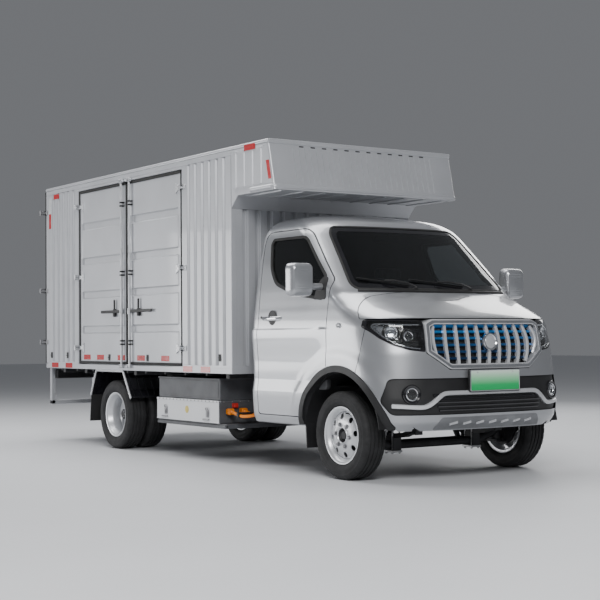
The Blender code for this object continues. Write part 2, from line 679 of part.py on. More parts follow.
def rear_doors():
    """Two doors that lie on the rear frame and swing right round to the side walls."""
    height = REAR_DOOR_Z[1] - REAR_DOOR_Z[0]
    pin = (REAR_PIN_X, REAR_FACE_Y)
    y = (BOX_REAR_Y + 0.004, REAR_FACE_Y)
    for name, side in (("rear_door_left", 1), ("rear_door_right", -1)):
        door = block(sorted((side * 0.003, side * (BOX_HALF_WIDTH - 0.003))), y, REAR_DOOR_Z)
        for fraction in REAR_HINGE_FRACTIONS:
            z = REAR_DOOR_Z[0] + height * fraction
            low, high = z - STRAP_HEIGHT / 2, z + STRAP_HEIGHT / 2
            outline = [
                (side * pin[0], pin[1] - PIN_RADIUS * 0.6), (side * pin[0], pin[1] + PIN_RADIUS * 0.6),
                (side * (BOX_HALF_WIDTH - 0.010), pin[1] + STRAP), (side * (BOX_HALF_WIDTH - 0.140), pin[1] + STRAP),
                (side * (BOX_HALF_WIDTH - 0.140), pin[1] - 0.006), (side * (BOX_HALF_WIDTH - 0.020), pin[1] - 0.006),
            ]
            fuse(
                door,
                rod((side * pin[0], pin[1], low), (side * pin[0], pin[1], high), PIN_RADIUS, 10),
                prism("Z", outline, low, high),
            )
        bands = [REAR_DOOR_Z[0] + height * f for f in (0.06, 0.5, 0.94)]
        fuse(door, *lock_bar(side * 0.090, REAR_FACE_Y, REAR_DOOR_Z[0], REAR_DOOR_Z[1], (0, 1), bands))
        finish(door, name, "box_paint", (side * pin[0], pin[1], sum(REAR_DOOR_Z) / 2))


# ---- Cab ----

# Height, foremost Y, depth of the rounded front, its squareness, half width and rearmost Y
CAB_STATIONS = (
    (0.345, -0.585, 0.46, 3.0, 0.800, 1.090),
    (0.400, -0.625, 0.48, 3.0, 0.816, 1.100),
    (0.550, -0.642, 0.50, 3.0, 0.826, 1.100),
    (0.850, -0.614, 0.52, 2.9, 0.831, 1.100),
    (0.980, -0.596, 0.54, 2.8, 0.832, 1.100),
    (1.045, -0.582, 0.54, 2.8, 0.830, 1.100),
    (1.085, -0.556, 0.53, 2.7, 0.826, 1.100),
    (1.110, -0.510, 0.50, 2.6, 0.823, 1.100),
    (1.145, -0.420, 0.45, 2.6, 0.819, 1.100),
    (1.185, -0.315, 0.39, 2.5, 0.813, 1.100),
    (1.225, -0.205, 0.32, 2.5, 0.808, 1.100),
    (1.262, -0.118, 0.27, 2.5, 0.803, 1.100),
    (1.300, -0.075, 0.25, 2.5, 0.798, 1.100),
    (1.500, 0.125, 0.25, 2.5, 0.766, 1.100),
    (1.710, 0.338, 0.25, 2.5, 0.722, 1.098),
    (1.760, 0.392, 0.25, 2.5, 0.700, 1.090),
    (1.795, 0.448, 0.24, 2.5, 0.670, 1.075),
    (1.822, 0.512, 0.22, 2.5, 0.630, 1.052),
    (1.846, 0.600, 0.18, 2.5, 0.565, 1.020),
    (1.864, 0.690, 0.13, 2.5, 0.450, 0.985),
    (1.874, 0.770, 0.08, 2.5, 0.260, 0.950),
)
CORNER = 0.060
FRONT_STEPS = 10


def cab_ring(z, front, depth, squareness, half, rear):
    right = []
    for i in range(FRONT_STEPS + 1):
        t = pi / 2 * i / FRONT_STEPS
        right.append((half * sin(t) ** (2 / squareness), front + depth * (1 - cos(t) ** (2 / squareness))))
    corner = min(CORNER, 0.3 * half)
    for i in range(4):
        t = pi / 2 * i / 3
        right.append((half - corner + corner * cos(t), rear - corner + corner * sin(t)))
    left = [(-x, y) for x, y in reversed(right[1:])]
    return [(x, y, z) for x, y in right + left]


def cab_form(inset=0.0):
    """The cab's outer surface, or the same surface moved in along its normals."""
    form = loft([cab_ring(*station) for station in CAB_STATIONS])
    if inset:
        bm = bmesh.new()
        bm.from_mesh(form.data)
        bm.normal_update()
        moved = [vert.co - vert.normal * inset for vert in bm.verts]
        for vert, place in zip(bm.verts, moved):
            vert.co = place
        bm.to_mesh(form.data)
        bm.free()
    return form


def grown(outline, by):
    """An outline with each edge moved out by about `by`."""
    count = len(outline)
    area = sum(outline[i][0] * outline[(i + 1) % count][1] - outline[(i + 1) % count][0] * outline[i][1]
               for i in range(count))
    turn = 1 if area > 0 else -1
    out = []
    for i in range(count):
        here = Vector(outline[i])
        before = (here - Vector(outline[i - 1])).normalized()
        after = (Vector(outline[(i + 1) % count]) - here).normalized()
        n0 = Vector((before.y, -before.x)) * turn
        n1 = Vector((after.y, -after.x)) * turn
        mid = (n0 + n1).normalized()
        out.append(tuple(here + mid * (by / max(0.35, mid.dot(n0)))))
    return out


DOOR_OUTLINE = (
    (DOOR_FRONT_Y, 0.500), (0.330, 0.410), (DOOR_REAR_Y, 0.410), (DOOR_REAR_Y, 1.080), (1.030, 1.660),
    (1.010, 1.720), (0.960, 1.738), (0.535, 1.738), (0.475, 1.705), (DOOR_FRONT_Y, 1.355),
)
WINDOW_OUTLINE = (
    (0.175, 1.215), (0.560, 1.262), (0.820, 1.345), (0.905, 1.450), (0.955, 1.650),
    (0.930, 1.692), (0.505, 1.692), (0.170, 1.372),
)
WINDSCREEN_OUTLINE = (
    (-0.690, 1.292), (0.690, 1.292), (0.592, 1.705), (0.545, 1.757), (-0.545, 1.757), (-0.592, 1.705),
)
LAMP_OUTLINE = (
    (0.516, 0.866), (0.620, 0.878), (0.710, 0.912), (0.775, 0.965), (0.835, 1.030), (0.805, 1.084), (0.509, 1.072),
)
GRILLE_OUTLINE = (
    (-0.505, 1.051), (-0.513, 0.857), (-0.352, 0.748), (0.352, 0.748), (0.513, 0.857), (0.505, 1.051),
    (0.447, 1.078), (-0.447, 1.078),
)
BONNET_OUTLINE = (
    (-0.90, 1.085), (-0.225, 1.085), (BONNET_HINGE[0], 1.240), (BONNET_HINGE[0], 1.290), (-0.90, 1.290),
)
BUMPER_OUTLINE = (
    (-0.90, 0.30), (-0.20, 0.30), (-0.20, 0.70), (-0.240, 0.800), (-0.292, 0.985), (-0.90, 0.985),
)
NOSE_OUTLINE = BUMPER_OUTLINE[:-2] + ((-0.297, 1.090), (-0.90, 1.090))
BUMPER_INSERT = (
    (-0.745, 0.690), (-0.790, 0.540), (-0.735, 0.450), (0.735, 0.450), (0.790, 0.540), (0.745, 0.690),
)


def arch(radius, x0, x1):
    return rod((x0, 0, AXLE_Z), (x1, 0, AXLE_Z), radius, 32)


def door_cutter(by, inset, side):
    """Door-shaped plug that reaches in from outside as far as the door is thick."""
    cutter = prism("X", grown(DOOR_OUTLINE, by), *sorted((side * 0.3, side * 1.0)))
    return carve(cutter, cab_form(inset))


def cab_shell():
    """Floor, firewall, fenders, pillars, roof and back wall in one pressing, with arch liners.

    The exact solver loses this body where its hollows meet, so the manifold one cuts it.
    """
    shell = cab_form()
    front_bay = common(cab_form(CAB_SKIN), block((-1, 1), (-0.8, 0.040), (0.2, 1.35)))
    under = block((-0.700, 0.700), (-0.7, 1.2), (0.2, CAB_FLOOR_Z[0]))
    cabin = common(cab_form(CAB_SKIN), block((-1, 1), (0.085, 1.2), (CAB_FLOOR_Z[1], 2)))
    doors = [door_cutter(SWING, DOOR_THICKNESS + SWING, side) for side in (1, -1)]
    boolean(shell, "DIFFERENCE", [under, front_bay, *doors, cabin], "MANIFOLD")
    for side in (1, -1):
        reach = sorted((side * (ARCH_INNER_X - ARCH_LINER), side * 0.86))
        liner = arch(ARCH_RADIUS + ARCH_LINER, *reach)
        above_sill = block((-1, 1), (-0.6, 0.6), (0.352, 1.0))
        boolean(liner, "INTERSECT", [cab_form(0.012), above_sill], "MANIFOLD")
        boolean(shell, "UNION", [liner], "MANIFOLD")
    openings = [arch(ARCH_RADIUS, *sorted((side * ARCH_INNER_X, side * 0.9))) for side in (1, -1)]
    openings += [
        prism("Y", WINDSCREEN_OUTLINE, -0.3, 0.72),
        prism("X", grown(BONNET_OUTLINE, SEAM), -1, 1),
        prism("X", grown(NOSE_OUTLINE, SEAM), -1, 1),
        front_zone(LAMP_OUTLINE, SEAM),
        front_zone(mirror_outline(LAMP_OUTLINE), SEAM),
    ]
    boolean(shell, "DIFFERENCE", openings, "MANIFOLD")
    finish(shell, "cab_shell", "cab_paint")


def cab_doors():
    for name, side in (("left", 1), ("right", -1)):
        door = common(cab_form(), prism("X", DOOR_OUTLINE, *sorted((side * 0.3, side * 1.0))))
        reach = sorted((side * 0.3, side * 1.0))
        carve(
            door, cab_form(DOOR_THICKNESS), arch(ARCH_RADIUS + ARCH_LINER + SWING, *reach),
            prism("X", WINDOW_OUTLINE, *reach),
        )
        pivot = (side * DOOR_HINGE_X, DOOR_FRONT_Y, 1.0)
        finish(door, "cab_door_" + name, "cab_paint", pivot)
        glass = common(cab_form(0.014), prism("X", grown(WINDOW_OUTLINE, -GAP), *reach))
        carve(glass, cab_form(0.014 + GLASS))
        finish(glass, "door_glass_" + name, "glass", pivot)


def windscreen():
    glass = common(cab_form(0.002), prism("Y", grown(WINDSCREEN_OUTLINE, -GAP), -0.3, 0.70))
    finish(carve(glass, cab_form(0.002 + GLASS)), "windscreen", "glass")


def bonnet():
    lid = common(cab_form(), prism("X", BONNET_OUTLINE, -1, 1))
    carve(lid, cab_form(0.022), front_zone(LAMP_OUTLINE, SEAM), front_zone(mirror_outline(LAMP_OUTLINE), SEAM),
          front_zone(GRILLE_OUTLINE, SEAM))
    finish(lid, "bonnet", "cab_paint", (0, *BONNET_HINGE))


def mirror_outline(outline):
    return tuple((-x, z) for x, z in outline)


def front_zone(outline, by):
    return prism("Y", grown(outline, by), -0.80, 0.0)


def front_bumper():
    bumper = common(cab_form(), prism("X", BUMPER_OUTLINE, -1, 1))
    carve(bumper, common(cab_form(CAB_SKIN), block((-1, 1), (-0.8, 0.2), (0.2, 1.3))))
    carve(bumper, block((-0.60, 0.60), (-0.53, 0.2), (0.2, 0.6)))
    for side in (1, -1):
        carve(bumper, arch(ARCH_RADIUS + ARCH_LINER + SEAM, *sorted((side * 0.38, side * 0.9))))
    for outline in (LAMP_OUTLINE, mirror_outline(LAMP_OUTLINE), GRILLE_OUTLINE):
        carve(bumper, front_zone(outline, SEAM))
    insert = carve(prism("Y", BUMPER_INSERT, -0.80, -0.30), cab_form(0.022))
    carve(bumper, insert)
    finish(bumper, "front_bumper", "cab_paint")


def headlamps():
    lamp = common(cab_form(0.002), prism("Y", LAMP_OUTLINE, -0.80, -0.02))
    carve(lamp, cab_form(0.085))
    both_sides(lamp, "headlamp", "lamp")


def grille():
    """Frame standing a little proud of the bodywork round a deep recess."""
    plate = common(cab_form(-0.010), prism("Y", GRILLE_OUTLINE, -0.80, -0.35))
    carve(plate, cab_form(0.050))
    recess = carve(prism("Y", grown(GRILLE_OUTLINE, -0.040), -0.80, -0.35), cab_form(0.035))
    finish(carve(plate, recess), "grille", "chrome")


def number_plate():
    plate = block((-0.220, 0.220), (FRONT_Y, FRONT_Y + 0.012), (0.598, 0.742))
    finish(plate, "number_plate", "battery_case")


MIRROR_HEAD_X = (0.885, 1.070)
MIRROR_HEAD_Z = (1.245, 1.475)
MIRROR_HEAD_Y = (0.175, 0.265)


def mirrors():
    """Rounded head on a short arm from the front corner of the door window."""
    x0, x1 = MIRROR_HEAD_X
    y0, y1 = MIRROR_HEAD_Y
    bevel = 0.022
    outline = [(x0 + bevel, y0), (x1 - bevel, y0), (x1, y0 + bevel), (x1, y1), (x0, y1), (x0, y0 + bevel)]
    head = prism("Z", outline, *MIRROR_HEAD_Z)
    arm = block((0.806, x0 + 0.02), (0.190, 0.240), (1.285, 1.345))
    both_sides(fuse(head, arm), "mirror", "cab_paint", (DOOR_HINGE_X, DOOR_FRONT_Y, 1.0))


def dashboard():
    outline = [(0.0857, 0.900), (0.0857, 1.150), (0.150, 1.205), (0.290, 1.190), (0.400, 1.100),
               (0.400, 0.980), (0.330, 0.900)]
    finish(carve(prism("X", outline, -0.715, 0.715), steering_column(GAP)), "dashboard", "black_plastic")


STEERING_WHEEL = (0.370, 0.480, 1.120)
STEERING_WHEEL_RADIUS = 0.185
COLUMN_RADIUS = 0.035
COLUMN_LENGTH = 0.160
COLUMN_AXIS = Vector((0, -cos(radians(50)), -sin(radians(50))))


def steering_column(by=0.0):
    centre = Vector(STEERING_WHEEL)
    return rod(centre, centre + COLUMN_AXIS * (COLUMN_LENGTH + by), COLUMN_RADIUS + by, 10)


def steering_wheel():
    """Rim, spokes and column of the driver's wheel, on the left."""
    centre = Vector(STEERING_WHEEL)
    tilt = Vector((0, 0, 1)).rotation_difference(COLUMN_AXIS).to_matrix()
    grip, around, across = 0.015, 18, 5
    rings = []
    for i in range(around):
        a = 2 * pi * i / around
        spoke = Vector((cos(a), sin(a), 0))
        rings.append([
            centre + tilt @ (spoke * (STEERING_WHEEL_RADIUS + grip * cos(2 * pi * j / across))
                             + Vector((0, 0, grip * sin(2 * pi * j / across))))
            for j in range(across)
        ])
    wheel = hoop(rings)
    for angle in (0, 90, 180):
        a = radians(angle)
        fuse(wheel, rod(centre, centre + tilt @ Vector((cos(a), sin(a), 0)) * STEERING_WHEEL_RADIUS, 0.011, 6))
    fuse(wheel, steering_column())
    finish(wheel, "steering_wheel", "black_plastic", STEERING_WHEEL)


def seats():
    """Driver's seat and a wider passenger seat on one plinth."""
    profile = [
        (0.600, CAB_FLOOR_Z[1] + GAP), (0.560, 0.820), (0.545, 0.900), (0.580, 0.945), (0.900, 0.930),
        (0.960, 1.480), (1.000, 1.500), (1.035, 1.470), (1.020, 0.880), (0.960, CAB_FLOOR_Z[1] + GAP),
    ]
    plinth = block((-0.60, 0.60), (0.62, 0.94), (CAB_FLOOR_Z[1] + GAP, 0.80))
    pair = fuse(prism("X", profile, 0.120, 0.640), prism("X", profile, -0.640, 0.080), plinth)
    finish(pair, "seats", "seat_fabric")


clear_scene()
truck = bpy.data.objects.new("truck", None)
bpy.context.scene.collection.objects.link(truck)
truck.location = (0, -CENTRE_Y, 0)
wheels()
knuckles()
front_axle()
tie_rod()
rear_axle()
chassis_frame()
battery_pack()
junction_box()
hv_cables()
rear_mudguards()
rear_underrun()
cargo_floor()
cargo_walls()
cargo_front_wall()
cargo_peak()
cargo_roof()
cargo_rear_frame()
side_doors()
rear_doors()
cab_shell()
cab_doors()
windscreen()
bonnet()
front_bumper()
headlamps()
grille()
number_plate()
mirrors()
dashboard()
steering_wheel()
seats()
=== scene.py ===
"""Looks for the electric mini truck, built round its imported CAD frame.

Sizes are in metres. Shapes are drawn with Y measured back from the front axle, +X to the truck's left and
+Z up, and `piece` moves them into the frame.
"""

from math import cos, hypot, pi, radians, sin

import bmesh
import bpy
import numpy as np
from mathutils import Matrix, Vector
from mathutils.bvhtree import BVHTree


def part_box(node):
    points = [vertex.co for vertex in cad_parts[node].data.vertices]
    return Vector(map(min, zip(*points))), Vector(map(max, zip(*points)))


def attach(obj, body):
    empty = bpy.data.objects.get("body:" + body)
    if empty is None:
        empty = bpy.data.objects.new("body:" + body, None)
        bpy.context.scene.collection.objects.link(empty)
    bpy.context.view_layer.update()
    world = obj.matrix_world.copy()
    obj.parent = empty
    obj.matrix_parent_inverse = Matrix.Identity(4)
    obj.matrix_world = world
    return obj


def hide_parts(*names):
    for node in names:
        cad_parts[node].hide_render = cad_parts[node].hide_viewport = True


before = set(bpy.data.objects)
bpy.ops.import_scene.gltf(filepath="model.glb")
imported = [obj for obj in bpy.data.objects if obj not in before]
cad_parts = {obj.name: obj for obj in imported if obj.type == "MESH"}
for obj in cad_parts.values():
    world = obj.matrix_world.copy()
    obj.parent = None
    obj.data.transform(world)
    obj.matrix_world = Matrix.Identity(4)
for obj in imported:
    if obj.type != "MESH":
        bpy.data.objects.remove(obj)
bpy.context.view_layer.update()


def centre(node):
    low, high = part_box(node)
    return (low + high) / 2


AXLE_Y = centre("front_tyre_left").y
AXLE_Z = centre("front_tyre_left").z
TYRE_RADIUS = AXLE_Z
FRONT_WHEEL_X = centre("front_tyre_left").x
WHEELBASE = centre("rear_tyre_outer_left").y - AXLE_Y
SIDES = (("left", 1), ("right", -1))
WAYS = (1, -1)


# ---- Outlines ----


def grown(outline, by):
    """An outline with each edge moved out by about `by`."""
    count = len(outline)
    area = sum(outline[i - 1][0] * outline[i][1] - outline[i][0] * outline[i - 1][1] for i in range(count))
    turn = 1 if area > 0 else -1
    out = []
    for i in range(count):
        here = Vector(outline[i])
        before = (here - Vector(outline[i - 1])).normalized()
        after = (Vector(outline[(i + 1) % count]) - here).normalized()
        n0 = Vector((before.y, -before.x)) * turn
        n1 = Vector((after.y, -after.x)) * turn
        mid = (n0 + n1).normalized()
        out.append(tuple(here + mid * (by / max(0.35, mid.dot(n0)))))
    return out


def around(count):
    """The angles of `count` even steps round a circle."""
    return [2 * pi * k / count for k in range(count)]


def oval(half_width, half_height, count):
    return [(half_width * cos(a), half_height * sin(a)) for a in around(count)]


def rectangle(x, y):
    return (x[0], y[0]), (x[1], y[0]), (x[1], y[1]), (x[0], y[1])


def bevelled(foot, top, sink, height):
    """A flat bar's section: `foot` and `top` are half widths."""
    return [(-foot, -sink), (-top, height), (top, height), (foot, -sink)]


def bend(start, here, end, steps):
    """Points on a curve from start to end that turns at `here`."""
    return [start * (1 - t) ** 2 + here * 2 * t * (1 - t) + end * t * t
            for t in (k / steps for k in range(steps + 1))]


def rounded(outline, radius, steps=5):
    """An outline whose corners are turned into arcs."""
    out = []
    count = len(outline)
    for i in range(count):
        here = Vector(outline[i])
        to_last = Vector(outline[i - 1]) - here
        to_next = Vector(outline[(i + 1) % count]) - here
        reach = min(radius, 0.45 * to_last.length, 0.45 * to_next.length)
        start = here + to_last.normalized() * reach
        end = here + to_next.normalized() * reach
        out += [tuple(point) for point in bend(start, here, end, steps)]
    return out


def rounded_path(points, radius):
    """An open line whose inner corners are turned into arcs."""
    out = [Vector(points[0])]
    for before, here, after in zip(points, points[1:], points[2:]):
        before, here, after = Vector(before), Vector(here), Vector(after)
        start = here + (before - here).normalized() * min(radius, 0.45 * (before - here).length)
        end = here + (after - here).normalized() * min(radius, 0.45 * (after - here).length)
        out += bend(start, here, end, 4)
    return out + [Vector(points[-1])]


def spaced(points, gap, closed=False):
    """The same line with a point at least every `gap`."""
    out = []
    ends = list(zip(points, list(points[1:]) + ([points[0]] if closed else [])))
    for a, b in ends:
        a, b = Vector(a), Vector(b)
        steps = max(1, int((b - a).length / gap))
        out += [tuple(a.lerp(b, k / steps)) for k in range(steps)]
    return out if closed else out + [tuple(points[-1])]


def mirror_outline(outline):
    return [(-a, b) for a, b in outline]


def smoothstep(value, low, high):
    t = min(1.0, max(0.0, (value - low) / (high - low)))
    return t * t * (3 - 2 * t)


# ---- Meshes ----


class Shape:
    """Points and faces that grow into one joined mesh."""

    def __init__(self):
        self.points = []
        self.faces = []

    def add(self, points, faces):
        start = len(self.points)
        self.points += [tuple(point) for point in points]
        self.faces += [tuple(start + i for i in face) for face in faces]
        return self

    def join(self, other):
        return self.add(other.points, other.faces)

    def mirrored(self):
        """The same mesh on the truck's other side."""
        twin = Shape()
        return twin.add([(-x, y, z) for x, y, z in self.points], [face[::-1] for face in self.faces])

    def moved(self, matrix):
        twin = Shape()
        return twin.add([matrix @ Vector(point) for point in self.points], self.faces)

    def rings(self, rings, closed=False):
        """A skin through rings of equally many points, closed into a loop or capped at both ends."""
        size, count = len(rings[0]), len(rings)
        faces = []
        for i in range(count if closed else count - 1):
            a, b = i * size, (i + 1) % count * size
            for j in range(size):
                k = (j + 1) % size
                faces.append((a + j, a + k, b + k, b + j))
        if not closed:
            faces.append(tuple(reversed(range(size))))
            faces.append(tuple(range((count - 1) * size, count * size)))
        return self.add([point for ring in rings for point in ring], faces)

    def prism(self, axis, outline, low, high, edge=0.0):
        """An outline in the other two axes, in X, Y, Z order, drawn out along one, its ends chamfered."""
        def place(a, b, c):
            return {"X": (c, a, b), "Y": (a, c, b), "Z": (a, b, c)}[axis]

        levels = [(low, 0), (high, 0)]
        if edge:
            levels = [(low, edge), (low + edge, 0), (high - edge, 0), (high, edge)]
        return self.rings([[place(a, b, c) for a, b in grown(outline, -inset)] if inset
                           else [place(a, b, c) for a, b in outline] for c, inset in levels])

    def block(self, x, y, z, edge=0.003):
        """A box with chamfered edges."""
        x, y, z = sorted(x), sorted(y), sorted(z)
        if not edge:
            return self.prism("Z", rectangle(x, y), z[0], z[1])
        e = min(edge, 0.4 * (x[1] - x[0]), 0.4 * (y[1] - y[0]), 0.4 * (z[1] - z[0]))
        corners = []
        for cx, cy, first in ((x[0], y[0], 1), (x[1], y[0], 0), (x[1], y[1], 1), (x[0], y[1], 0)):
            sx, sy = (1 if cx == x[0] else -1), (1 if cy == y[0] else -1)
            pair = [(cx + sx * e, cy), (cx, cy + sy * e)]
            corners += pair[::-1] if first else pair
        return self.prism("Z", corners, z[0], z[1], e)

    def pair(self, x, y, z, edge=0.003):
        """A block and its mirror image on the truck's other side."""
        for way in WAYS:
            self.block((way * x[0], way * x[1]), y, z, edge)
        return self

    def lathe(self, profile, middle, axis, sides):
        """A closed (along, radius) profile turned about an axis through `middle`."""
        middle = Vector(middle)
        rings = []
        for a in around(sides):
            ring = []
            for along, r in profile:
                u, v = r * cos(a), r * sin(a)
                ring.append(middle + Vector({"X": (along, u, v), "Y": (u, along, v),
                                             "Z": (u, v, along)}[axis]))
            rings.append(ring)
        return self.rings(rings, closed=True)

    def tube(self, points, radius, sides):
        """A round bar along a line."""
        return self.sweep(points, oval(radius, radius, sides))

    def sweep(self, points, section, closed=False, outs=None):
        """A section of (across, out) points carried along a line, `out` following outs or staying level."""
        points = [Vector(point) for point in points]
        count = len(points)
        out = None
        rings = []
        for i, point in enumerate(points):
            before = points[i - 1] if closed or i else point
            after = points[(i + 1) % count] if closed or i < count - 1 else point
            ahead = (after - before).normalized()
            if outs:
                out = Vector(outs[i])
            elif out is None:
                out = Vector((0, 0, 1)) if abs(ahead.z) < 0.9 else Vector((0, -1, 0))
            out = (out - ahead * out.dot(ahead)).normalized()
            across = ahead.cross(out)
            rings.append([point + across * a + out * b for a, b in section])
        return self.rings(rings, closed)

    def dome(self, middle, radius, axis, height, sides=12, rows=4):
        """A round cap that bulges along `axis` from a flat base."""
        rings = [circle(middle, axis, radius, -0.002, sides)]
        for i in range(rows):
            t = pi / 2 * i / rows
            rings.append(circle(middle, axis, radius * cos(t), height * sin(t), sides))
        return self.rings(rings)

    def nut(self, middle, axis, across, height, collar=True):
        """A hexagon nut on a washer, with a domed stud end."""
        def stack(*levels):
            self.rings([circle(middle, axis, radius, level, count) for radius, level, count in levels])

        if collar:
            stack((across * 1.25, -0.002, 12), (across * 1.25, 0.002, 12), (across, 0.0035, 12))
        stack((across, 0, 6), (across, height * 0.85, 6), (across * 0.85, height, 6))
        middle, axis = Vector(middle), Vector(axis).normalized()
        return self.dome(middle + axis * height, across * 0.5, axis, across * 0.35, 8, 2)

    def nut_circle(self, middle, radius, count, turn, across, height):
        """Nuts evenly round a middle, facing the truck's left."""
        x, y, z = middle
        for a in around(count):
            a += radians(turn)
            self.nut((x, y + radius * cos(a), z + radius * sin(a)), (1, 0, 0), across, height)
        return self


def circle(middle, axis, radius, level, count):
    """Points round an axis, `level` along it from its middle."""
    axis = Vector(axis).normalized()
    side = axis.orthogonal().normalized()
    over = axis.cross(side)
    return [Vector(middle) + axis * level + (side * cos(a) + over * sin(a)) * radius for a in around(count)]


def turned(profile, frame_of, sides):
    """A profile turned about Z, carried into another frame."""
    return Shape().lathe(profile, (0, 0, 0), "Z", sides).moved(frame_of)


def solid(shape, name="solid"):
    """The shape as an object, its faces turned outwards, still in the drawing's own place."""
    mesh = bpy.data.meshes.new(name)
    mesh.from_pydata(shape.points, [], shape.faces)
    bm = bmesh.new()
    bm.from_mesh(mesh)
    bmesh.ops.recalc_face_normals(bm, faces=bm.faces)
    bm.to_mesh(mesh)
    bm.free()
    obj = bpy.data.objects.new(name, mesh)
    bpy.context.scene.collection.objects.link(obj)
    return obj


def shape_of(obj):
    """A solid read back as a shape; the object goes."""
    shape = Shape().add([vert.co for vert in obj.data.vertices],
                        [tuple(face.vertices) for face in obj.data.polygons])
    bpy.data.objects.remove(obj)
    return shape


def apply_modifiers(obj):
    graph = bpy.context.evaluated_depsgraph_get()
    mesh = bpy.data.meshes.new_from_object(obj.evaluated_get(graph))
    mesh.materials.clear()
    obj.modifiers.clear()
    obj.data = mesh


def boolean(base, operation, others):
    for other in others:
        modifier = base.modifiers.new(operation, "BOOLEAN")
        modifier.operation = operation
        modifier.solver = "MANIFOLD"
        modifier.object = other
        apply_modifiers(base)
        bpy.data.objects.remove(other, do_unlink=True)
    return base


def carve(base, *others):
    return boolean(base, "DIFFERENCE", others)


def common(base, *others):
    return boolean(base, "INTERSECT", others)


def fuse(base, *others):
    return boolean(base, "UNION", others)


def prism(axis, outline, low, high):
    return solid(Shape().prism(axis, outline, low, high))


def block(x, y, z):
    return solid(Shape().block(x, y, z, 0))


def piece(name, made, look, body="chassis", replaces=(), sharp=35, slot=None):
    """Puts a shape or a solid in place as a finished piece riding on a body."""
    obj = solid(made) if isinstance(made, Shape) else made
    obj.name = obj.data.name = name
    obj.data.transform(Matrix.Translation((0, AXLE_Y, 0)))
    if len(obj.data.materials) == 0:
        obj.data.materials.append(look)
    obj.data.shade_smooth()
    obj.data.set_sharp_from_angle(angle=radians(sharp))
    slot = slot or SLOT_OF[look.name]
    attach(obj, body)
    if replaces:
        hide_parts(replaces)
    return obj


def both_sides(name, shape, look, body="chassis", **more):
    """A piece on the left and its mirror image on the right; `*` in names stands for the side."""
    for side, way in SIDES:
        given = {key: value.replace("*", side) if isinstance(value, str) else value for key,
                 value in more.items()}
        piece(f"{name}_{side}", shape if way > 0 else shape.mirrored(), look, body.replace("*", side),
              **given)


# ---- Materials ----


class Look:
    """A Principled material and short ways to drive its sockets from the object's own coordinates."""

    def __init__(self, name, colour, roughness, metallic=0.0, **sockets):
        self.material = bpy.data.materials.new(name)
        self.material.use_nodes = True
        self.tree = self.material.node_tree
        self.shader = self.tree.nodes["Principled BSDF"]
        self.colour = colour
        self.set("Base Color", (*colour, 1))
        self.set("Roughness", roughness)
        self.set("Metallic", metallic)
        self.material.diffuse_color = (*colour, 1)
        for socket, value in sockets.items():
            self.set(socket.replace("_", " ").title().replace("Ior", "IOR"), value)
        self.height = None

    def set(self, socket, value):
        self.shader.inputs[socket].default_value = value

    def node(self, kind, **values):
        node = self.tree.nodes.new(kind)
        for key, value in values.items():
            if hasattr(node, key):
                setattr(node, key, value)
            else:
                node.inputs[key.replace("_", " ").title()].default_value = value
        return node

    def link(self, source, target):
        self.tree.links.new(source, target)

    def texture(self, kind, output, **values):
        """A texture over the object's own coordinates, in metres."""
        node = self.node(kind, **values)
        self.link(self.node("ShaderNodeTexCoord").outputs["Object"], node.inputs["Vector"])
        return node.outputs[output]

    def noise(self, scale, detail):
        return self.texture("ShaderNodeTexNoise", "Fac", scale=scale, detail=detail)

    def cells(self, scale):
        return self.texture("ShaderNodeTexVoronoi", "Distance", scale=scale)

    def waves(self, scale, direction):
        return self.texture("ShaderNodeTexWave", "Fac", scale=scale, bands_direction=direction)

    def ramp(self, source, stops):
        node = self.node("ShaderNodeValToRGB")
        while len(node.color_ramp.elements) < len(stops):
            node.color_ramp.elements.new(0.5)
        for element, (at, colour) in zip(node.color_ramp.elements, stops):
            element.position = at
            element.color = (*colour, 1)
        self.link(source, node.inputs["Fac"])
        return node.outputs["Color"]

    def tint(self, source, darker, lighter, low=0.35, high=0.65):
        """Base colour that follows a texture from `darker` to `lighter` times the look's colour."""
        stops = [(low, [c * darker for c in self.colour]),
                 (high, [min(1, c * lighter) for c in self.colour])]
        self.link(self.ramp(source, stops), self.shader.inputs["Base Color"])
        return self

    def rough(self, source, low, high):
        node = self.node("ShaderNodeMapRange", to_min=low, to_max=high)
        self.link(source, node.inputs["Value"])
        self.link(node.outputs["Result"], self.shader.inputs["Roughness"])
        return self

    def bump(self, source, strength, distance):
        """Adds to the surface relief; each call lies on top of the one before."""
        node = self.node("ShaderNodeBump", strength=strength, distance=distance)
        self.link(source, node.inputs["Height"])
        if self.height:
            self.link(self.height, node.inputs["Normal"])
        self.height = node.outputs["Normal"]
        self.link(self.height, self.shader.inputs["Normal"])
        return self

    def up(self, low, high):
        """Height between two levels, from 0 to 1."""
        height = self.texture("ShaderNodeSeparateXYZ", "Z")
        node = self.node("ShaderNodeMapRange", from_min=low, from_max=high)
        self.link(height, node.inputs["Value"])
        return node.outputs["Result"]


def painted(name, colour, roughness, metallic, coat, dust=1.0):
    """Vehicle paint: fine metal flake under clear coat, faint waviness and a trace of dust."""
    look = Look(name, colour, roughness, metallic, coat_weight=coat, coat_roughness=0.05)
    look.tint(look.noise(2.5, 4), 1 - 0.05 * dust, 1 + 0.03 * dust)
    look.rough(look.noise(5, 5), roughness - 0.04, roughness + 0.07 * dust)
    look.bump(look.cells(2600), 0.10, 0.0002)
    look.bump(look.noise(7, 2), 0.05, 0.002)
    return look.material


def plastic(name, colour, roughness, grain=1800, depth=0.25, **sockets):
    look = Look(name, colour, roughness, **sockets)
    look.tint(look.noise(6, 5), 0.8, 1.25)
    look.rough(look.noise(14, 4), roughness - 0.08, roughness + 0.10)
    look.bump(look.noise(grain, 2), depth, 0.0004)
    return look.material


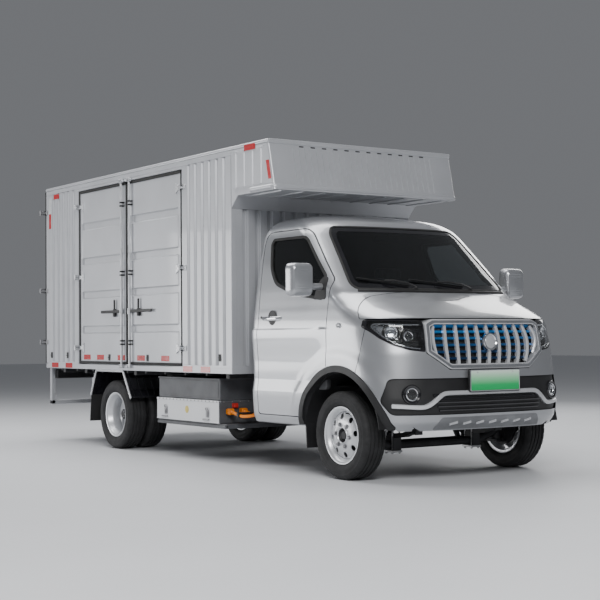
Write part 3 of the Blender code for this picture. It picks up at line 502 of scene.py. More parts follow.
def metal(name, colour, roughness, grain=300):
    """Bare or plated metal with a fine grain and cloudy patches."""
    look = Look(name, colour, roughness, 1.0)
    look.tint(look.noise(9, 5), 0.85, 1.1)
    look.rough(look.noise(grain, 3), roughness - 0.06, roughness + 0.12)
    look.bump(look.noise(grain, 2), 0.06, 0.0003)
    return look.material


def underbody(name, colour, roughness):
    """Chassis black, a little dusty, with an orange-peel skin."""
    look = Look(name, colour, roughness, 0.1)
    look.tint(look.noise(7, 6), 0.7, 1.9, 0.4, 0.75)
    look.rough(look.noise(18, 5), roughness - 0.1, roughness + 0.2)
    look.bump(look.noise(420, 3), 0.2, 0.0006)
    return look.material


def tyre_rubber():
    look = Look("tyre_rubber", (0.013, 0.013, 0.014), 0.72)
    look.tint(look.noise(11, 6), 0.7, 1.7, 0.4, 0.8)
    look.rough(look.noise(30, 4), 0.58, 0.85)
    look.bump(look.noise(900, 3), 0.3, 0.0005)
    return look.material


def clear_glass(name, colour):
    """Solid glass with the faintest ripple."""
    look = Look(name, colour, 0.0, transmission_weight=1.0, ior=1.45)
    look.rough(look.noise(3, 3), 0.0, 0.03)
    look.bump(look.noise(4, 1), 0.02, 0.002)
    return look.material


def reflector(name, colour):
    """Prismatic tape: a close hexagonal net under a gloss film."""
    look = Look(name, colour, 0.25, coat_weight=0.6, coat_roughness=0.05)
    look.tint(look.cells(260), 1.15, 0.75, 0.1, 0.6)
    look.bump(look.cells(260), 0.4, 0.0008)
    return look.material


def cloth(name, colour):
    """Woven seat cloth: crossed threads with a soft sheen."""
    look = Look(name, colour, 0.95, sheen_weight=0.35, sheen_roughness=0.5)
    look.tint(look.noise(30, 5), 0.7, 1.3)
    look.bump(look.waves(420, "X"), 0.5, 0.0008)
    look.bump(look.waves(420, "Z"), 0.5, 0.0008)
    return look.material


def plate_green():
    """Plate blank, pale at the top and green at the bottom."""
    look = Look("plate_green", (0.03, 0.45, 0.13), 0.35, coat_weight=0.4)
    stops = [(0.0, (0.0, 0.36, 0.09)), (0.30, (0.01, 0.42, 0.12)), (0.62, (0.28, 0.62, 0.36)),
             (1.0, (0.75, 0.82, 0.76))]
    low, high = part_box("number_plate")
    look.link(look.ramp(look.up(low.z, high.z), stops), look.shader.inputs["Base Color"])
    look.bump(look.cells(700), 0.12, 0.0003)
    return look.material


def slat_blue_painted_shade():
    """Blue slats with painted shade: their colour darkens towards the bottom of the grille."""
    look = Look("slat_blue_painted_shade", (0.01, 0.17, 0.45), 0.3, 0.5, coat_weight=0.4)
    # Painted shade: the colour ramp over height goes near black at the grille's foot.
    stops = [(0.0, (0.003, 0.008, 0.02)), (0.45, (0.005, 0.06, 0.18)), (1.0, (0.01, 0.24, 0.60))]
    look.link(look.ramp(look.up(0.76, 1.05), stops), look.shader.inputs["Base Color"])
    look.rough(look.noise(25, 3), 0.24, 0.42)
    look.bump(look.noise(900, 2), 0.08, 0.0003)
    return look.material


CAB_PAINT = painted("cab_paint", (0.42, 0.43, 0.45), 0.32, 0.70, 1.0, 0.6)
BOX_PAINT = painted("box_paint", (0.47, 0.48, 0.505), 0.40, 0.38, 0.35)
TRIM_SILVER = painted("trim_silver", (0.66, 0.67, 0.69), 0.26, 0.50, 0.6, 0.5)
WHEEL_PAINT = painted("wheel_silver", (0.62, 0.63, 0.65), 0.34, 0.55, 0.5)
BATTERY_PAINT = painted("battery_white", (0.66, 0.67, 0.69), 0.45, 0.1, 0.1)
BLACK = plastic("black_plastic", (0.011, 0.011, 0.012), 0.48)
GLOSS_BLACK = plastic("gloss_black", (0.008, 0.008, 0.010), 0.14, 60, 0.02, coat_weight=0.6,
                      coat_roughness=0.05)
GREY_SKIN = plastic("skid_grey", (0.16, 0.165, 0.175), 0.40)
RUBBER = plastic("seal_rubber", (0.012, 0.012, 0.012), 0.70, 900, 0.2)
CHASSIS = underbody("chassis_black", (0.020, 0.020, 0.022), 0.50)
COVER_GREY = plastic("cover_grey", (0.070, 0.073, 0.080), 0.48, 900, 0.2)
TYRE = tyre_rubber()
CHROME = metal("chrome", (0.80, 0.81, 0.83), 0.10, grain=80)
STEEL = metal("machined_steel", (0.46, 0.46, 0.47), 0.38)
ZINC = metal("zinc_plate", (0.60, 0.61, 0.63), 0.36, grain=120)
GLASS = clear_glass("tinted_glass", (0.36, 0.39, 0.40))
LENS = clear_glass("lens_clear", (0.96, 0.97, 0.98))
MIRROR = metal("mirror_silver", (0.85, 0.86, 0.88), 0.06, grain=20)
RED = reflector("reflector_red", (0.55, 0.015, 0.02))
WHITE = reflector("reflector_white", (0.72, 0.73, 0.74))
AMBER = reflector("amber_lens", (0.80, 0.28, 0.02))
ORANGE = plastic("orange_sheath", (0.80, 0.22, 0.01), 0.42, 1200, 0.15)
RED_PLASTIC = plastic("red_connector", (0.45, 0.02, 0.015), 0.40, 1200, 0.15)
SEAT = cloth("seat_cloth", (0.040, 0.040, 0.045))
TRIM_GREY = plastic("trim_grey", (0.055, 0.056, 0.060), 0.62, 1100, 0.35)
PLATE = plate_green()
BLUE = slat_blue_painted_shade()
BARE_STEEL = metal("dark_steel", (0.30, 0.30, 0.31), 0.42)
STICKER = plastic("label_yellow", (0.62, 0.50, 0.12), 0.5, 700, 0.1)

SLOT_OF = {look.name: slot for slot, looks in (
    ("cab_paint", (CAB_PAINT,)),
    ("box_paint", (BOX_PAINT,)),
    ("chrome", (TRIM_SILVER, CHROME)),
    ("wheel_silver", (WHEEL_PAINT,)),
    ("battery_case", (BATTERY_PAINT, PLATE, STICKER)),
    ("black_plastic", (BLACK, GLOSS_BLACK, GREY_SKIN, RUBBER, TRIM_GREY, BLUE)),
    ("chassis_black", (CHASSIS, COVER_GREY)),
    ("tyre", (TYRE,)),
    ("machined_steel", (STEEL, ZINC, BARE_STEEL)),
    ("glass", (GLASS, MIRROR)),
    ("lamp", (LENS, RED, WHITE, AMBER)),
    ("orange_cable", (ORANGE, RED_PLASTIC)),
    ("seat_fabric", (SEAT,)),
) for look in looks}


# ---- Cab surface ----

# height, foremost Y, depth of the front's curve, squareness, half width, rearmost Y
CAB_STATIONS = np.array((
    (0.345, -0.585, 0.46, 3.0, 0.800, 1.090), (0.400, -0.625, 0.48, 3.0, 0.816, 1.100),
    (0.550, -0.642, 0.50, 3.0, 0.826, 1.100), (0.850, -0.614, 0.52, 2.9, 0.831, 1.100),
    (0.980, -0.596, 0.54, 2.8, 0.832, 1.100), (1.045, -0.582, 0.54, 2.8, 0.830, 1.100),
    (1.085, -0.556, 0.53, 2.7, 0.826, 1.100), (1.110, -0.510, 0.50, 2.6, 0.823, 1.100),
    (1.145, -0.420, 0.45, 2.6, 0.819, 1.100), (1.185, -0.315, 0.39, 2.5, 0.813, 1.100),
    (1.225, -0.205, 0.32, 2.5, 0.808, 1.100), (1.262, -0.118, 0.27, 2.5, 0.803, 1.100),
    (1.300, -0.075, 0.25, 2.5, 0.798, 1.100), (1.500, 0.125, 0.25, 2.5, 0.766, 1.100),
    (1.710, 0.338, 0.25, 2.5, 0.722, 1.098), (1.760, 0.392, 0.25, 2.5, 0.700, 1.090),
    (1.795, 0.448, 0.24, 2.5, 0.670, 1.075), (1.822, 0.512, 0.22, 2.5, 0.630, 1.052),
    (1.846, 0.600, 0.18, 2.5, 0.565, 1.020), (1.864, 0.690, 0.13, 2.5, 0.450, 0.985),
    (1.874, 0.770, 0.08, 2.5, 0.260, 0.950),
))
CAB_FLOOR_Z = (0.5803, 0.620)
CAB_SKIN = 0.045
DOOR_THICKNESS = 0.055
ARCH_RADIUS = 0.430
ARCH_INNER_X = 0.430
FLARE_RADIUS = 0.474
SWELL_REACH = (0.525, 0.610)
SHOULDER_DEPTH = 0.011
STEP_DEPTH = 0.012
SWELL_DEPTH = 0.0075
SHOULDER_Z = 1.018
STEP_Z = (0.580, 0.662)
ARCH_FOOT_Z = 0.352
SEAM = 0.004
SWING = 0.006
PANEL_DEPTH = 0.022

DOOR_OUTLINE = ((0.125, 0.500), (0.330, 0.410), (0.990, 0.410), (0.990, 1.080), (1.030, 1.660),
                (1.010, 1.720), (0.960, 1.738), (0.535, 1.738), (0.475, 1.705), (0.125, 1.355))
WINDOW_OUTLINE = ((0.175, 1.215), (0.560, 1.262), (0.820, 1.345), (0.905, 1.450), (0.955, 1.650),
                  (0.930, 1.692), (0.505, 1.692), (0.170, 1.372))
WINDSCREEN_OUTLINE = ((-0.690, 1.292), (0.690, 1.292), (0.592, 1.705), (0.545, 1.757), (-0.545, 1.757),
                      (-0.592, 1.705))
LAMP_OUTLINE = ((0.516, 0.866), (0.620, 0.878), (0.702, 0.908), (0.758, 0.955), (0.808, 1.030),
                (0.794, 1.078), (0.509, 1.072))
LAMP_ROUND = 0.014
GRILLE_OUTLINE = ((-0.505, 1.051), (-0.513, 0.857), (-0.352, 0.748), (0.352, 0.748), (0.513, 0.857),
                  (0.505, 1.051), (0.447, 1.078), (-0.447, 1.078))
BONNET_OUTLINE = ((-0.90, 1.085), (-0.225, 1.085), (-0.098, 1.240), (-0.098, 1.290), (-0.90, 1.290))
BUMPER_OUTLINE = ((-0.90, 0.30), (-0.20, 0.30), (-0.20, 0.70), (-0.240, 0.800), (-0.289, 1.050),
                  (-0.90, 1.050))
NOSE_OUTLINE = BUMPER_OUTLINE[:-2] + ((-0.297, 1.090), (-0.90, 1.090))
NOSE_Y = (-0.80, -0.30)
BUMPER_INSERT = ((-0.745, 0.690), (-0.790, 0.540), (-0.735, 0.450), (0.735, 0.450), (0.790, 0.540),
                 (0.745, 0.690))

CAB_LEVELS = sorted(
    {round(z, 4) for z in np.concatenate((np.arange(0.345, 1.06, 0.011), np.arange(1.06, 1.30, 0.006),
                                          np.arange(1.30, 1.76, 0.015), np.arange(1.76, 1.872, 0.003)))}
    | {STEP_Z[0], STEP_Z[1], SHOULDER_Z, SHOULDER_Z + 0.012, 1.874}
)
FRONT_STEPS = 42
SIDE_STEPS = 44
CORNER_STEPS = 6
CORNER = 0.060


def station(z):
    """The smoothed row of CAB_STATIONS at a height."""
    reach = min(0.012, z - 0.345, 1.874 - z)
    return [float(np.mean([np.interp(z + reach * k, CAB_STATIONS[:, 0], column)
                           for k in (-1, -0.5, 0, 0.5, 1)])) for column in CAB_STATIONS[:, 1:].T]


def cab_ring(z):
    """The cab's outline at a height, from mid-front round the left side and back round the right."""
    front, depth, squareness, half, rear = station(z)
    t = np.linspace(0, pi / 2, 240)
    x, y = half * np.sin(t) ** (2 / squareness), front + depth * (1 - np.cos(t) ** (2 / squareness))
    run = np.concatenate(([0], np.cumsum(np.hypot(np.diff(x), np.diff(y)))))
    at = np.linspace(0, run[-1], FRONT_STEPS + 1)
    left = list(zip(np.interp(at, run, x), np.interp(at, run, y)))
    corner = min(CORNER, 0.3 * half)
    left += [(half, y) for y in np.linspace(front + depth, rear - corner, SIDE_STEPS + 1)[1:-1]]
    for i in range(CORNER_STEPS + 1):
        a = pi / 2 * i / CORNER_STEPS
        left.append((half - corner + corner * cos(a), rear - corner + corner * sin(a)))
    left += [(x, rear) for x in np.linspace(half - corner, 0, 8)[1:-1]]
    right = [(-x, y) for x, y in reversed(left[1:])]
    return [(x, y, z) for x, y in left + right]


def relief(point, normal):
    """How far the pressed skin stands proud of the plain form."""
    y, z = point.y, point.z
    side = smoothstep(abs(normal.x), 0.55, 0.9) * (1 - smoothstep(z, 1.5, 1.6))
    if not side:
        return 0.0
    back = smoothstep(y, 0.06, 0.30)
    shoulder = min(1, max(0, (SHOULDER_Z + 0.012 - z) / 0.012)) * smoothstep(z, 0.78, SHOULDER_Z)
    low, high = STEP_Z
    ahead = smoothstep(y - 0.6 * (high - z), 0.245, 0.275)
    step = min(1, max(0, (high - z) / (high - low))) * ahead
    reach = hypot(y, z - AXLE_Z)
    swell = (1 - smoothstep(reach, *SWELL_REACH)) * smoothstep(z, 0.36, 0.50)
    return side * (SHOULDER_DEPTH * shoulder * back + STEP_DEPTH * step + SWELL_DEPTH * swell)


FORMS = {}


def cab_form(inset=0.0):
    """The cab's outer surface, or the same surface moved in along its normals, as a new object."""
    if inset not in FORMS:
        shape = Shape().rings([cab_ring(z) for z in CAB_LEVELS])
        obj = solid(shape, "form")
        bm = bmesh.new()
        bm.from_mesh(obj.data)
        bm.normal_update()
        moved = [vert.co + vert.normal * (relief(vert.co, vert.normal) - inset) for vert in bm.verts]
        for vert, at in zip(bm.verts, moved):
            vert.co = at
        bm.to_mesh(obj.data)
        bm.free()
        FORMS[inset] = obj.data
        obj.data.use_fake_user = True
        bpy.data.objects.remove(obj)
    obj = bpy.data.objects.new("form", FORMS[inset].copy())
    bpy.context.scene.collection.objects.link(obj)
    return obj


def surface():
    """A ray target for the cab's outer surface."""
    bpy.data.objects.remove(cab_form())
    mesh = FORMS[0.0]
    return BVHTree.FromPolygons([vert.co.copy() for vert in mesh.vertices],
                                [tuple(p.vertices) for p in mesh.polygons])


CAB_SURFACE = surface()


def on_side(y, z, way):
    """The point and outward normal on the cab's side at a length and height."""
    place, normal, _, _ = CAB_SURFACE.ray_cast(Vector((way * 2, y, z)), Vector((-way, 0, 0)))
    return place, normal


def on_front(x, z):
    place, normal, _, _ = CAB_SURFACE.ray_cast(Vector((x, -3, z)), Vector((0, 1, 0)))
    return place, normal


def side_prism(outline, way):
    """A cutter through one side of the cab."""
    return prism("X", outline, *sorted((way * 0.3, way * 1.0)))


def front_prism(outline, low=-0.80, high=0.0):
    """A cutter through the cab's front."""
    return prism("Y", outline, low, high)


def skin(cutter, outer, inner):
    """The part of the cab's skin between two depths that lies inside a cutter."""
    return carve(common(cab_form(outer), cutter), cab_form(inner))


def bore(x0, x1, y, z, radius, sides):
    """A round cutter along X."""
    return solid(Shape().rings([[(x, y + radius * cos(a), z + radius * sin(a)) for a in around(sides)]
                                for x in sorted((x0, x1))]))


def arch(radius, x0, x1):
    """A wheel arch's cutter."""
    return bore(x0, x1, 0, AXLE_Z, radius, 96)


def outside_only(place, _):
    """Look 0 on the cab's outer surface and look 1 elsewhere."""
    return 0 if proud(place) else 1


def clad(obj, rule, looks):
    """Gives each face the look whose number `rule` returns for its middle and normal."""
    for look in looks:
        obj.data.materials.append(look)
    for face in obj.data.polygons:
        face.material_index = rule(face.center, face.normal)
    return obj


def proud(place):
    """Whether a point lies on the cab's outer surface."""
    _, _, _, distance = CAB_SURFACE.find_nearest(place)
    return distance is not None and distance < 0.004


def ribbon(shape, places, section, closed=False):
    """Lays a section along points of the cab's surface, given as (place, normal) pairs."""
    return shape.sweep([place for place, _ in places], section, closed, [normal for _, normal in places])


def flat(width, height, sink=0.003):
    """A low strip's section, sunk a little into what it lies on."""
    half = width / 2
    return [(-half, -sink), (-half, height * 0.6), (-half * 0.7, height), (0, height), (half * 0.7, height),
            (half, height * 0.6), (half, -sink)]


def front_line(outline, gap, closed=True):
    return [on_front(x, z) for x, z in spaced(outline, gap, closed)]


def lamp_outlines():
    """The left and the right headlamp's outline, seen from the front."""
    outline = rounded(LAMP_OUTLINE, LAMP_ROUND)
    return outline, mirror_outline(outline)


# ---- Cab ----


def cab_body():
    """Floor, firewall, fenders, pillars, roof and back wall."""
    shell = cab_form()
    glazing = rounded(WINDSCREEN_OUTLINE, 0.07)
    cutters = [
        block((-0.700, 0.700), (-0.7, 1.2), (0.2, CAB_FLOOR_Z[0])),
        common(cab_form(CAB_SKIN), block((-1, 1), (-0.8, 0.040), (0.2, 1.35))),
        common(cab_form(CAB_SKIN), block((-1, 1), (0.085, 1.2), (CAB_FLOOR_Z[1], 2))),
    ]
    for way in WAYS:
        cutters.append(carve(side_prism(rounded(grown(DOOR_OUTLINE, SWING), 0.03), way),
                             cab_form(DOOR_THICKNESS + SWING)))
    carve(shell, *cutters)
    for way in WAYS:
        liner = common(arch(ARCH_RADIUS + 0.030, way * 0.400, way * 0.86), cab_form(0.012),
                       block((-1, 1), (-0.6, 0.6), (ARCH_FOOT_Z, 1.0)))
        fuse(shell, liner)
    openings = [arch(ARCH_RADIUS, way * ARCH_INNER_X, way * 0.9) for way in WAYS]
    openings += [
        prism("Y", glazing, -0.3, 0.72),
        prism("X", rounded(grown(BONNET_OUTLINE, SEAM), 0.01), -1, 1),
        prism("X", grown(NOSE_OUTLINE, SEAM), -1, 1),
        *(front_prism(grown(outline, SEAM)) for outline in lamp_outlines()),
    ]
    carve(shell, *openings)

    def rule(place, _):
        if proud(place):
            return 0
        inside = place.y > 0.06 and place.z > 0.60 and hypot(place.y, place.z - AXLE_Z) > ARCH_RADIUS + 0.02
        return 1 if inside else 2

    clad(shell, rule, (CAB_PAINT, TRIM_GREY, CHASSIS))
    piece("cab_body", shell, CAB_PAINT, replaces="cab_shell", sharp=28)


def cab_doors():
    """Door skins with a pressed shoulder, rubber round the window, glass and handle."""
    handle_y, handle_z, lock_y = 0.805, 1.105, 0.955
    window = rounded(WINDOW_OUTLINE, 0.05)
    for side, way in SIDES:
        body = f"cab_door_{side}"
        door = common(cab_form(), side_prism(rounded(DOOR_OUTLINE, 0.03), way))
        carve(door, cab_form(DOOR_THICKNESS), arch(ARCH_RADIUS + 0.036, way * 0.3, way * 1.0),
              side_prism(window, way))
        place, _ = on_side(handle_y, handle_z, way)
        cup = Shape().dome((place.x + way * 0.004, handle_y, handle_z), 0.052, (-way, 0, 0), 0.030, 32, 6)
        carve(door, solid(cup))
        scoop = Vector((place.x, handle_y, handle_z))
        clad(door, lambda at, _: 0 if proud(at) or (at - scoop).length < 0.055 else 1,
             (CAB_PAINT, TRIM_GREY))
        piece(f"door_skin_{side}", door, CAB_PAINT, body, f"cab_door_{side}", sharp=28)

        ring = carve(side_prism(grown(window, 0.0005), way), side_prism(grown(window, -0.020), way))
        piece(f"window_rubber_{side}", skin(ring, 0.002, 0.030), RUBBER, body)
        pane = skin(side_prism(grown(window, -0.018), way), 0.012, 0.016)
        piece(f"door_pane_{side}", pane, GLASS, body, f"door_glass_{side}")
        base = skin(side_prism(rounded(((0.160, 1.225), (0.300, 1.225), (0.265, 1.330), (0.205, 1.392),
                                        (0.168, 1.372)), 0.02), way), -0.004, 0.020)
        piece(f"mirror_base_{side}", base, BLACK, body)

        bowl = Shape().dome((place.x - way * 0.0005, handle_y, handle_z), 0.050, (-way, 0, 0), 0.027, 32, 6)
        rim = Shape().lathe([(-0.002, 0.049), (0.0015, 0.0495), (0.003, 0.053), (0.001, 0.056),
                             (-0.003, 0.056)], (place.x, handle_y, handle_z), "X", 40)
        piece(f"handle_cup_{side}", bowl.join(rim), BLACK, body)
        grip = [(0.692, -0.001), (0.702, 0.010), (0.735, 0.020), (0.800, 0.0235), (0.870, 0.021),
                (0.912, 0.011), (0.922, -0.001)]
        line = [(place.x + way * out, y, handle_z - 0.004) for y, out in grip]
        section = oval(0.014, 0.0075, 16)
        bar = Shape().sweep(line, section, outs=[(way, 0, 0)] * len(line))
        piece(f"door_handle_{side}", bar, CHROME, body)
        lock = Shape().lathe([(-0.002, 0.0), (-0.002, 0.010), (0.004, 0.010), (0.005, 0.008),
                              (0.0045, 0.0)], (place.x, lock_y, handle_z + 0.006), "X", 20)
        piece(f"door_lock_{side}", lock, BLACK, body)


def windscreen_glass():
    """Curved pane with a black printed border, on a bed of rubber."""
    outline = rounded(grown(WINDSCREEN_OUTLINE, -0.001), 0.069)
    border = carve(front_prism(outline, -0.3, 0.70), front_prism(rounded(grown(WINDSCREEN_OUTLINE, -0.038),
                                                                         0.05), -0.31, 0.72))
    piece("windscreen_border", skin(border, 0.002, 0.010), GLOSS_BLACK)
    pane = front_prism(rounded(grown(WINDSCREEN_OUTLINE, -0.036), 0.05), -0.3, 0.70)
    piece("windscreen_pane", skin(pane, 0.003, 0.008), GLASS, replaces="windscreen")
    line = front_line(grown(outline, 0.001), 0.03)
    piece("windscreen_rubber", ribbon(Shape(), line, flat(0.018, 0.003, 0.006), True), RUBBER)


def wipers():
    """Two arms with blades that rest low on the windscreen, on a black cowl."""
    cowl = Shape()
    ribbon(cowl, front_line([(x, 1.281 - 0.004 * cos(x * 2.2)) for x in np.linspace(-0.66, 0.66, 45)], 0.02,
                            False), flat(0.024, 0.006, 0.012))
    piece("cowl", cowl, BLACK)
    for name, root, tip in (("left", (0.30, 1.300), (-0.22, 1.345)),
                            ("right", (-0.20, 1.300), (-0.62, 1.352))):
        root_at, root_out = on_front(*root)
        blade = []
        for k in range(13):
            t = k / 12
            x = root[0] + (tip[0] - root[0]) * (0.12 + 0.88 * t)
            place, out = on_front(x, root[1] + (tip[1] - root[1]) * t + 0.012)
            blade.append((place + out * 0.010, out))
        parts = Shape()
        parts.sweep([p for p, _ in blade], bevelled(0.004, 0.0025, 0.008, 0.004),
                    outs=[out for _, out in blade])
        middle = blade[6][0]
        arm = [root_at + root_out * 0.012, root_at.lerp(middle, 0.3) + root_out * 0.030,
               root_at.lerp(middle, 0.75) + root_out * 0.026, middle + root_out * 0.010]
        parts.sweep(arm, bevelled(0.007, 0.005, 0.003, 0.004),
                    outs=[root_out] * 4)
        parts.dome(root_at + root_out * 0.002, 0.014, root_out, 0.016, 16, 4)
        piece(f"wiper_{name}", parts, BLACK)


def bonnet_lid():
    lid = common(cab_form(), prism("X", BONNET_OUTLINE, -1, 1))
    openings = [front_prism(grown(outline, SEAM)) for outline in (*lamp_outlines(), GRILLE_OUTLINE)]
    carve(lid, cab_form(PANEL_DEPTH), *openings)
    clad(lid, outside_only, (CAB_PAINT, CHASSIS))
    piece("bonnet_lid", lid, CAB_PAINT, "bonnet", "bonnet", sharp=28)


def fender_trim():
    """Black flares round the arches, liners inside them, flaps behind the wheels and small side lamps."""
    for side, way in SIDES:
        band = carve(arch(FLARE_RADIUS, way * 0.70, way * 0.9),
                     arch(ARCH_RADIUS - 0.001, way * 0.6, way * 1.0),
                     block((-1, 1), (-1, 1), (0.0, ARCH_FOOT_Z)))
        piece(f"flare_{side}", skin(band, -0.007, 0.014), BLACK)
    liner = Shape()
    rings = []
    for k in range(33):
        a = radians(8 + 164 * k / 32)
        out, inner = ARCH_RADIUS - 0.002, ARCH_RADIUS - 0.006
        rings.append([(x, r * cos(a), AXLE_Z + r * sin(a)) for x,
                      r in ((0.436, inner), (0.436, out), (0.800, out), (0.800, inner))])
    liner.rings(rings)
    both_sides("arch_liner", liner, BLACK)
    flap = Shape().prism("X", rounded(((0.404, 0.190), (0.412, 0.190), (0.436, 0.420), (0.424, 0.560),
                                       (0.414, 0.560), (0.424, 0.420)), 0.003, 2), 0.615, 0.800)
    both_sides("front_flap", flap, BLACK)
    for side, way in SIDES:
        place, out = on_side(-0.026, 1.042, way)
        ring = [place + Vector((0, 0.027 * cos(a), 0.016 * sin(a))) + out * 0.001 for a in around(32)]
        lamp = Shape().sweep(ring, oval(0.003, 0.004, 8), True,
                             [out] * 32)
        piece(f"side_lamp_rim_{side}", lamp, CHROME)
        bulb = Shape().dome((0, 0, 0), 1.0, (way, 0, 0), 0.4, 32, 6).moved(
            Matrix.Translation(place) @ Matrix.Diagonal((0.014, 0.026, 0.015, 1)))
        piece(f"side_lamp_{side}", bulb, LENS)


# ---- Nose ----


def bumper():
    """Painted bumper with a recessed black middle, slats, Z-shaped trims, fog lamps and a skid plate."""
    cover = common(cab_form(), prism("X", BUMPER_OUTLINE, -1, 1))
    carve(cover, common(cab_form(CAB_SKIN), block((-1, 1), (-0.8, 0.2), (0.2, 1.3))))
    carve(cover, block((-0.60, 0.60), (-0.53, 0.2), (0.2, 0.6)))
    for way in WAYS:
        carve(cover, arch(ARCH_RADIUS + 0.034, way * 0.38, way * 0.9))
    for outline in (*lamp_outlines(), GRILLE_OUTLINE):
        carve(cover, front_prism(grown(outline, SEAM)))
    carve(cover, carve(front_prism(rounded(BUMPER_INSERT, 0.03), *NOSE_Y), cab_form(PANEL_DEPTH)))
    clad(cover, outside_only, (CAB_PAINT, BLACK))
    piece("bumper_cover", cover, CAB_PAINT, replaces="front_bumper", sharp=28)

    inner = grown(rounded(BUMPER_INSERT, 0.03), -0.002)
    piece("bumper_insert", skin(front_prism(inner, *NOSE_Y), 0.012, 0.030), BLACK)
    slats = Shape()
    for k in range(5):
        z = 0.478 + 0.026 * k
        half = 0.44 + 0.012 * k
        line = front_line([(x, z) for x in np.linspace(-half, half, 37)], 0.03, False)
        ribbon(slats, [(at - out * 0.008, out) for at, out in line], flat(0.013, 0.007, 0.006))
    piece("bumper_slats", slats, GLOSS_BLACK)
    trims = Shape()
    for way in WAYS:
        corner = [(0.735, 0.512), (0.560, 0.500), (0.515, 0.512), (0.420, 0.585), (0.385, 0.592),
                  (0.0, 0.592)]
        line = front_line([(way * x, z) for x, z in spaced(rounded_path(corner, 0.03), 0.012)], 0.012,
                          False)
        ribbon(trims, [(at - out * 0.006, out) for at, out in line], flat(0.030, 0.016, 0.006))
    piece("bumper_trims", trims, TRIM_SILVER)
    for side, way in SIDES:
        fog_lamp(side, way)
    skid = rounded(((-0.47, 0.352), (0.47, 0.352), (0.42, 0.432), (-0.42, 0.432)), 0.015)
    piece("skid_plate", skin(front_prism(skid, -0.80, -0.40), -0.005, 0.020), GREY_SKIN)
    studs = Shape()
    for x in (-0.33, -0.22, -0.11, 0.0, 0.11, 0.22, 0.33):
        line = front_line([(x - 0.030, 0.388), (x + 0.030, 0.400)], 0.02, False)
        ribbon(studs, [(at + out * 0.003, out) for at, out in line], flat(0.018, 0.006))
    piece("skid_studs", studs, TRIM_SILVER)


def aim(place, out):
    """The frame that carries +Z onto `out` at a place."""
    return Matrix.Translation(place) @ Vector((0, 0, 1)).rotation_difference(out).to_matrix().to_4x4()


def fog_lamp(side, way):
    place, out = on_front(way * 0.625, 0.588)
    out = (out + Vector((0, -0.6, 0))).normalized()
    turn = aim(place - out * 0.006, out)
    bezel = turned([(-0.03, 0.040), (0.002, 0.040), (0.004, 0.046), (0.008, 0.058), (0.002, 0.064),
                    (-0.03, 0.064)], turn, 48)
    piece(f"fog_bezel_{side}", bezel, GLOSS_BLACK)
    ring = turned([(0.000, 0.034), (0.006, 0.035), (0.009, 0.039), (0.006, 0.043), (-0.002, 0.043)], turn,
                  48)
    piece(f"fog_ring_{side}", ring, CHROME)
    bowl = turned([(-0.024, 0.0), (-0.024, 0.016), (-0.014, 0.028), (0.000, 0.036), (-0.002, 0.039),
                   (-0.026, 0.039), (-0.028, 0.0)], turn, 40)
    piece(f"fog_bowl_{side}", bowl, CHROME, slot="lamp")
    lens = Shape().dome((0, 0, 0.001), 0.035, (0, 0, 1), 0.007, 32, 6)
    piece(f"fog_lens_{side}", lens.moved(turn), LENS)


def headlamps():
    """Deep dark housing with a projector and reflectors behind one clear cover, edged in bright trim."""
    for (side, way), shape in zip(SIDES, lamp_outlines()):
        rim = carve(front_prism(shape), front_prism(grown(shape, -0.009), -0.81, 0.01))
        piece(f"lamp_rim_{side}", skin(rim, 0.0, 0.070), GLOSS_BLACK)
        piece(f"lamp_back_{side}", skin(front_prism(grown(shape, -0.008)), 0.066, 0.085), GLOSS_BLACK,
              replaces=f"headlamp_{side}")
        cover = skin(front_prism(grown(shape, -0.006)), 0.001, 0.004)
        piece(f"lamp_cover_{side}", cover, LENS)
        reflector_edge = ((0.645, 0.905), (0.702, 0.922), (0.750, 0.965), (0.790, 1.030), (0.780, 1.058),
                          (0.645, 1.054))
        reflector_edge = reflector_edge if way > 0 else mirror_outline(reflector_edge)
        piece(f"lamp_reflector_{side}", skin(front_prism(rounded(reflector_edge, 0.010)), 0.050, 0.060),
              CHROME)
        inner = Shape()
        glow = Shape()
        bright = Shape()
        for x, z, radius in ((0.692, 0.992, 0.038), (0.598, 0.968, 0.026)):
            place, out = on_front(way * x, z)
            out = (out + Vector((0, -1.2, 0))).normalized()
            turn = aim(place - out * 0.045, out)
            bright.join(turned([(-0.02, radius), (0.012, radius), (0.015, radius + 0.004),
                                (0.010, radius + 0.010), (-0.02, radius + 0.010)], turn, 40))
            inner.join(turned([(-0.02, radius + 0.010), (0.004, radius + 0.010), (0.000, radius + 0.020),
                               (-0.02, radius + 0.020)], turn, 40))
            glow.join(Shape().dome((0, 0, 0), radius - 0.002, (0, 0, 1), radius * 0.6, 32, 7).moved(turn))
        brow = [(0.530, 1.050), (0.640, 1.052), (0.730, 1.056), (0.776, 1.056), (0.788, 1.030),
                (0.768, 0.998), (0.735, 0.955), (0.690, 0.922), (0.620, 0.896), (0.545, 0.886)]
        line = [on_front(way * x, z) for x, z in spaced(rounded_path(brow, 0.03), 0.012)]
        ribbon(bright, [(at - out * 0.022, out) for at, out in line], flat(0.009, 0.006))
        for k in range(4):
            z = 0.915 + 0.011 * k
            row = [on_front(way * (0.545 + 0.012 * j), z) for j in range(11 + k)]
            ribbon(inner, [(at - out * 0.040, out) for at, out in row], flat(0.005, 0.006))
        piece(f"lamp_bright_{side}", bright, CHROME)
        piece(f"lamp_inner_{side}", inner, BLACK)
        piece(f"lamp_projector_{side}", glow, LENS)


BLADES = 11
SLATS = 6


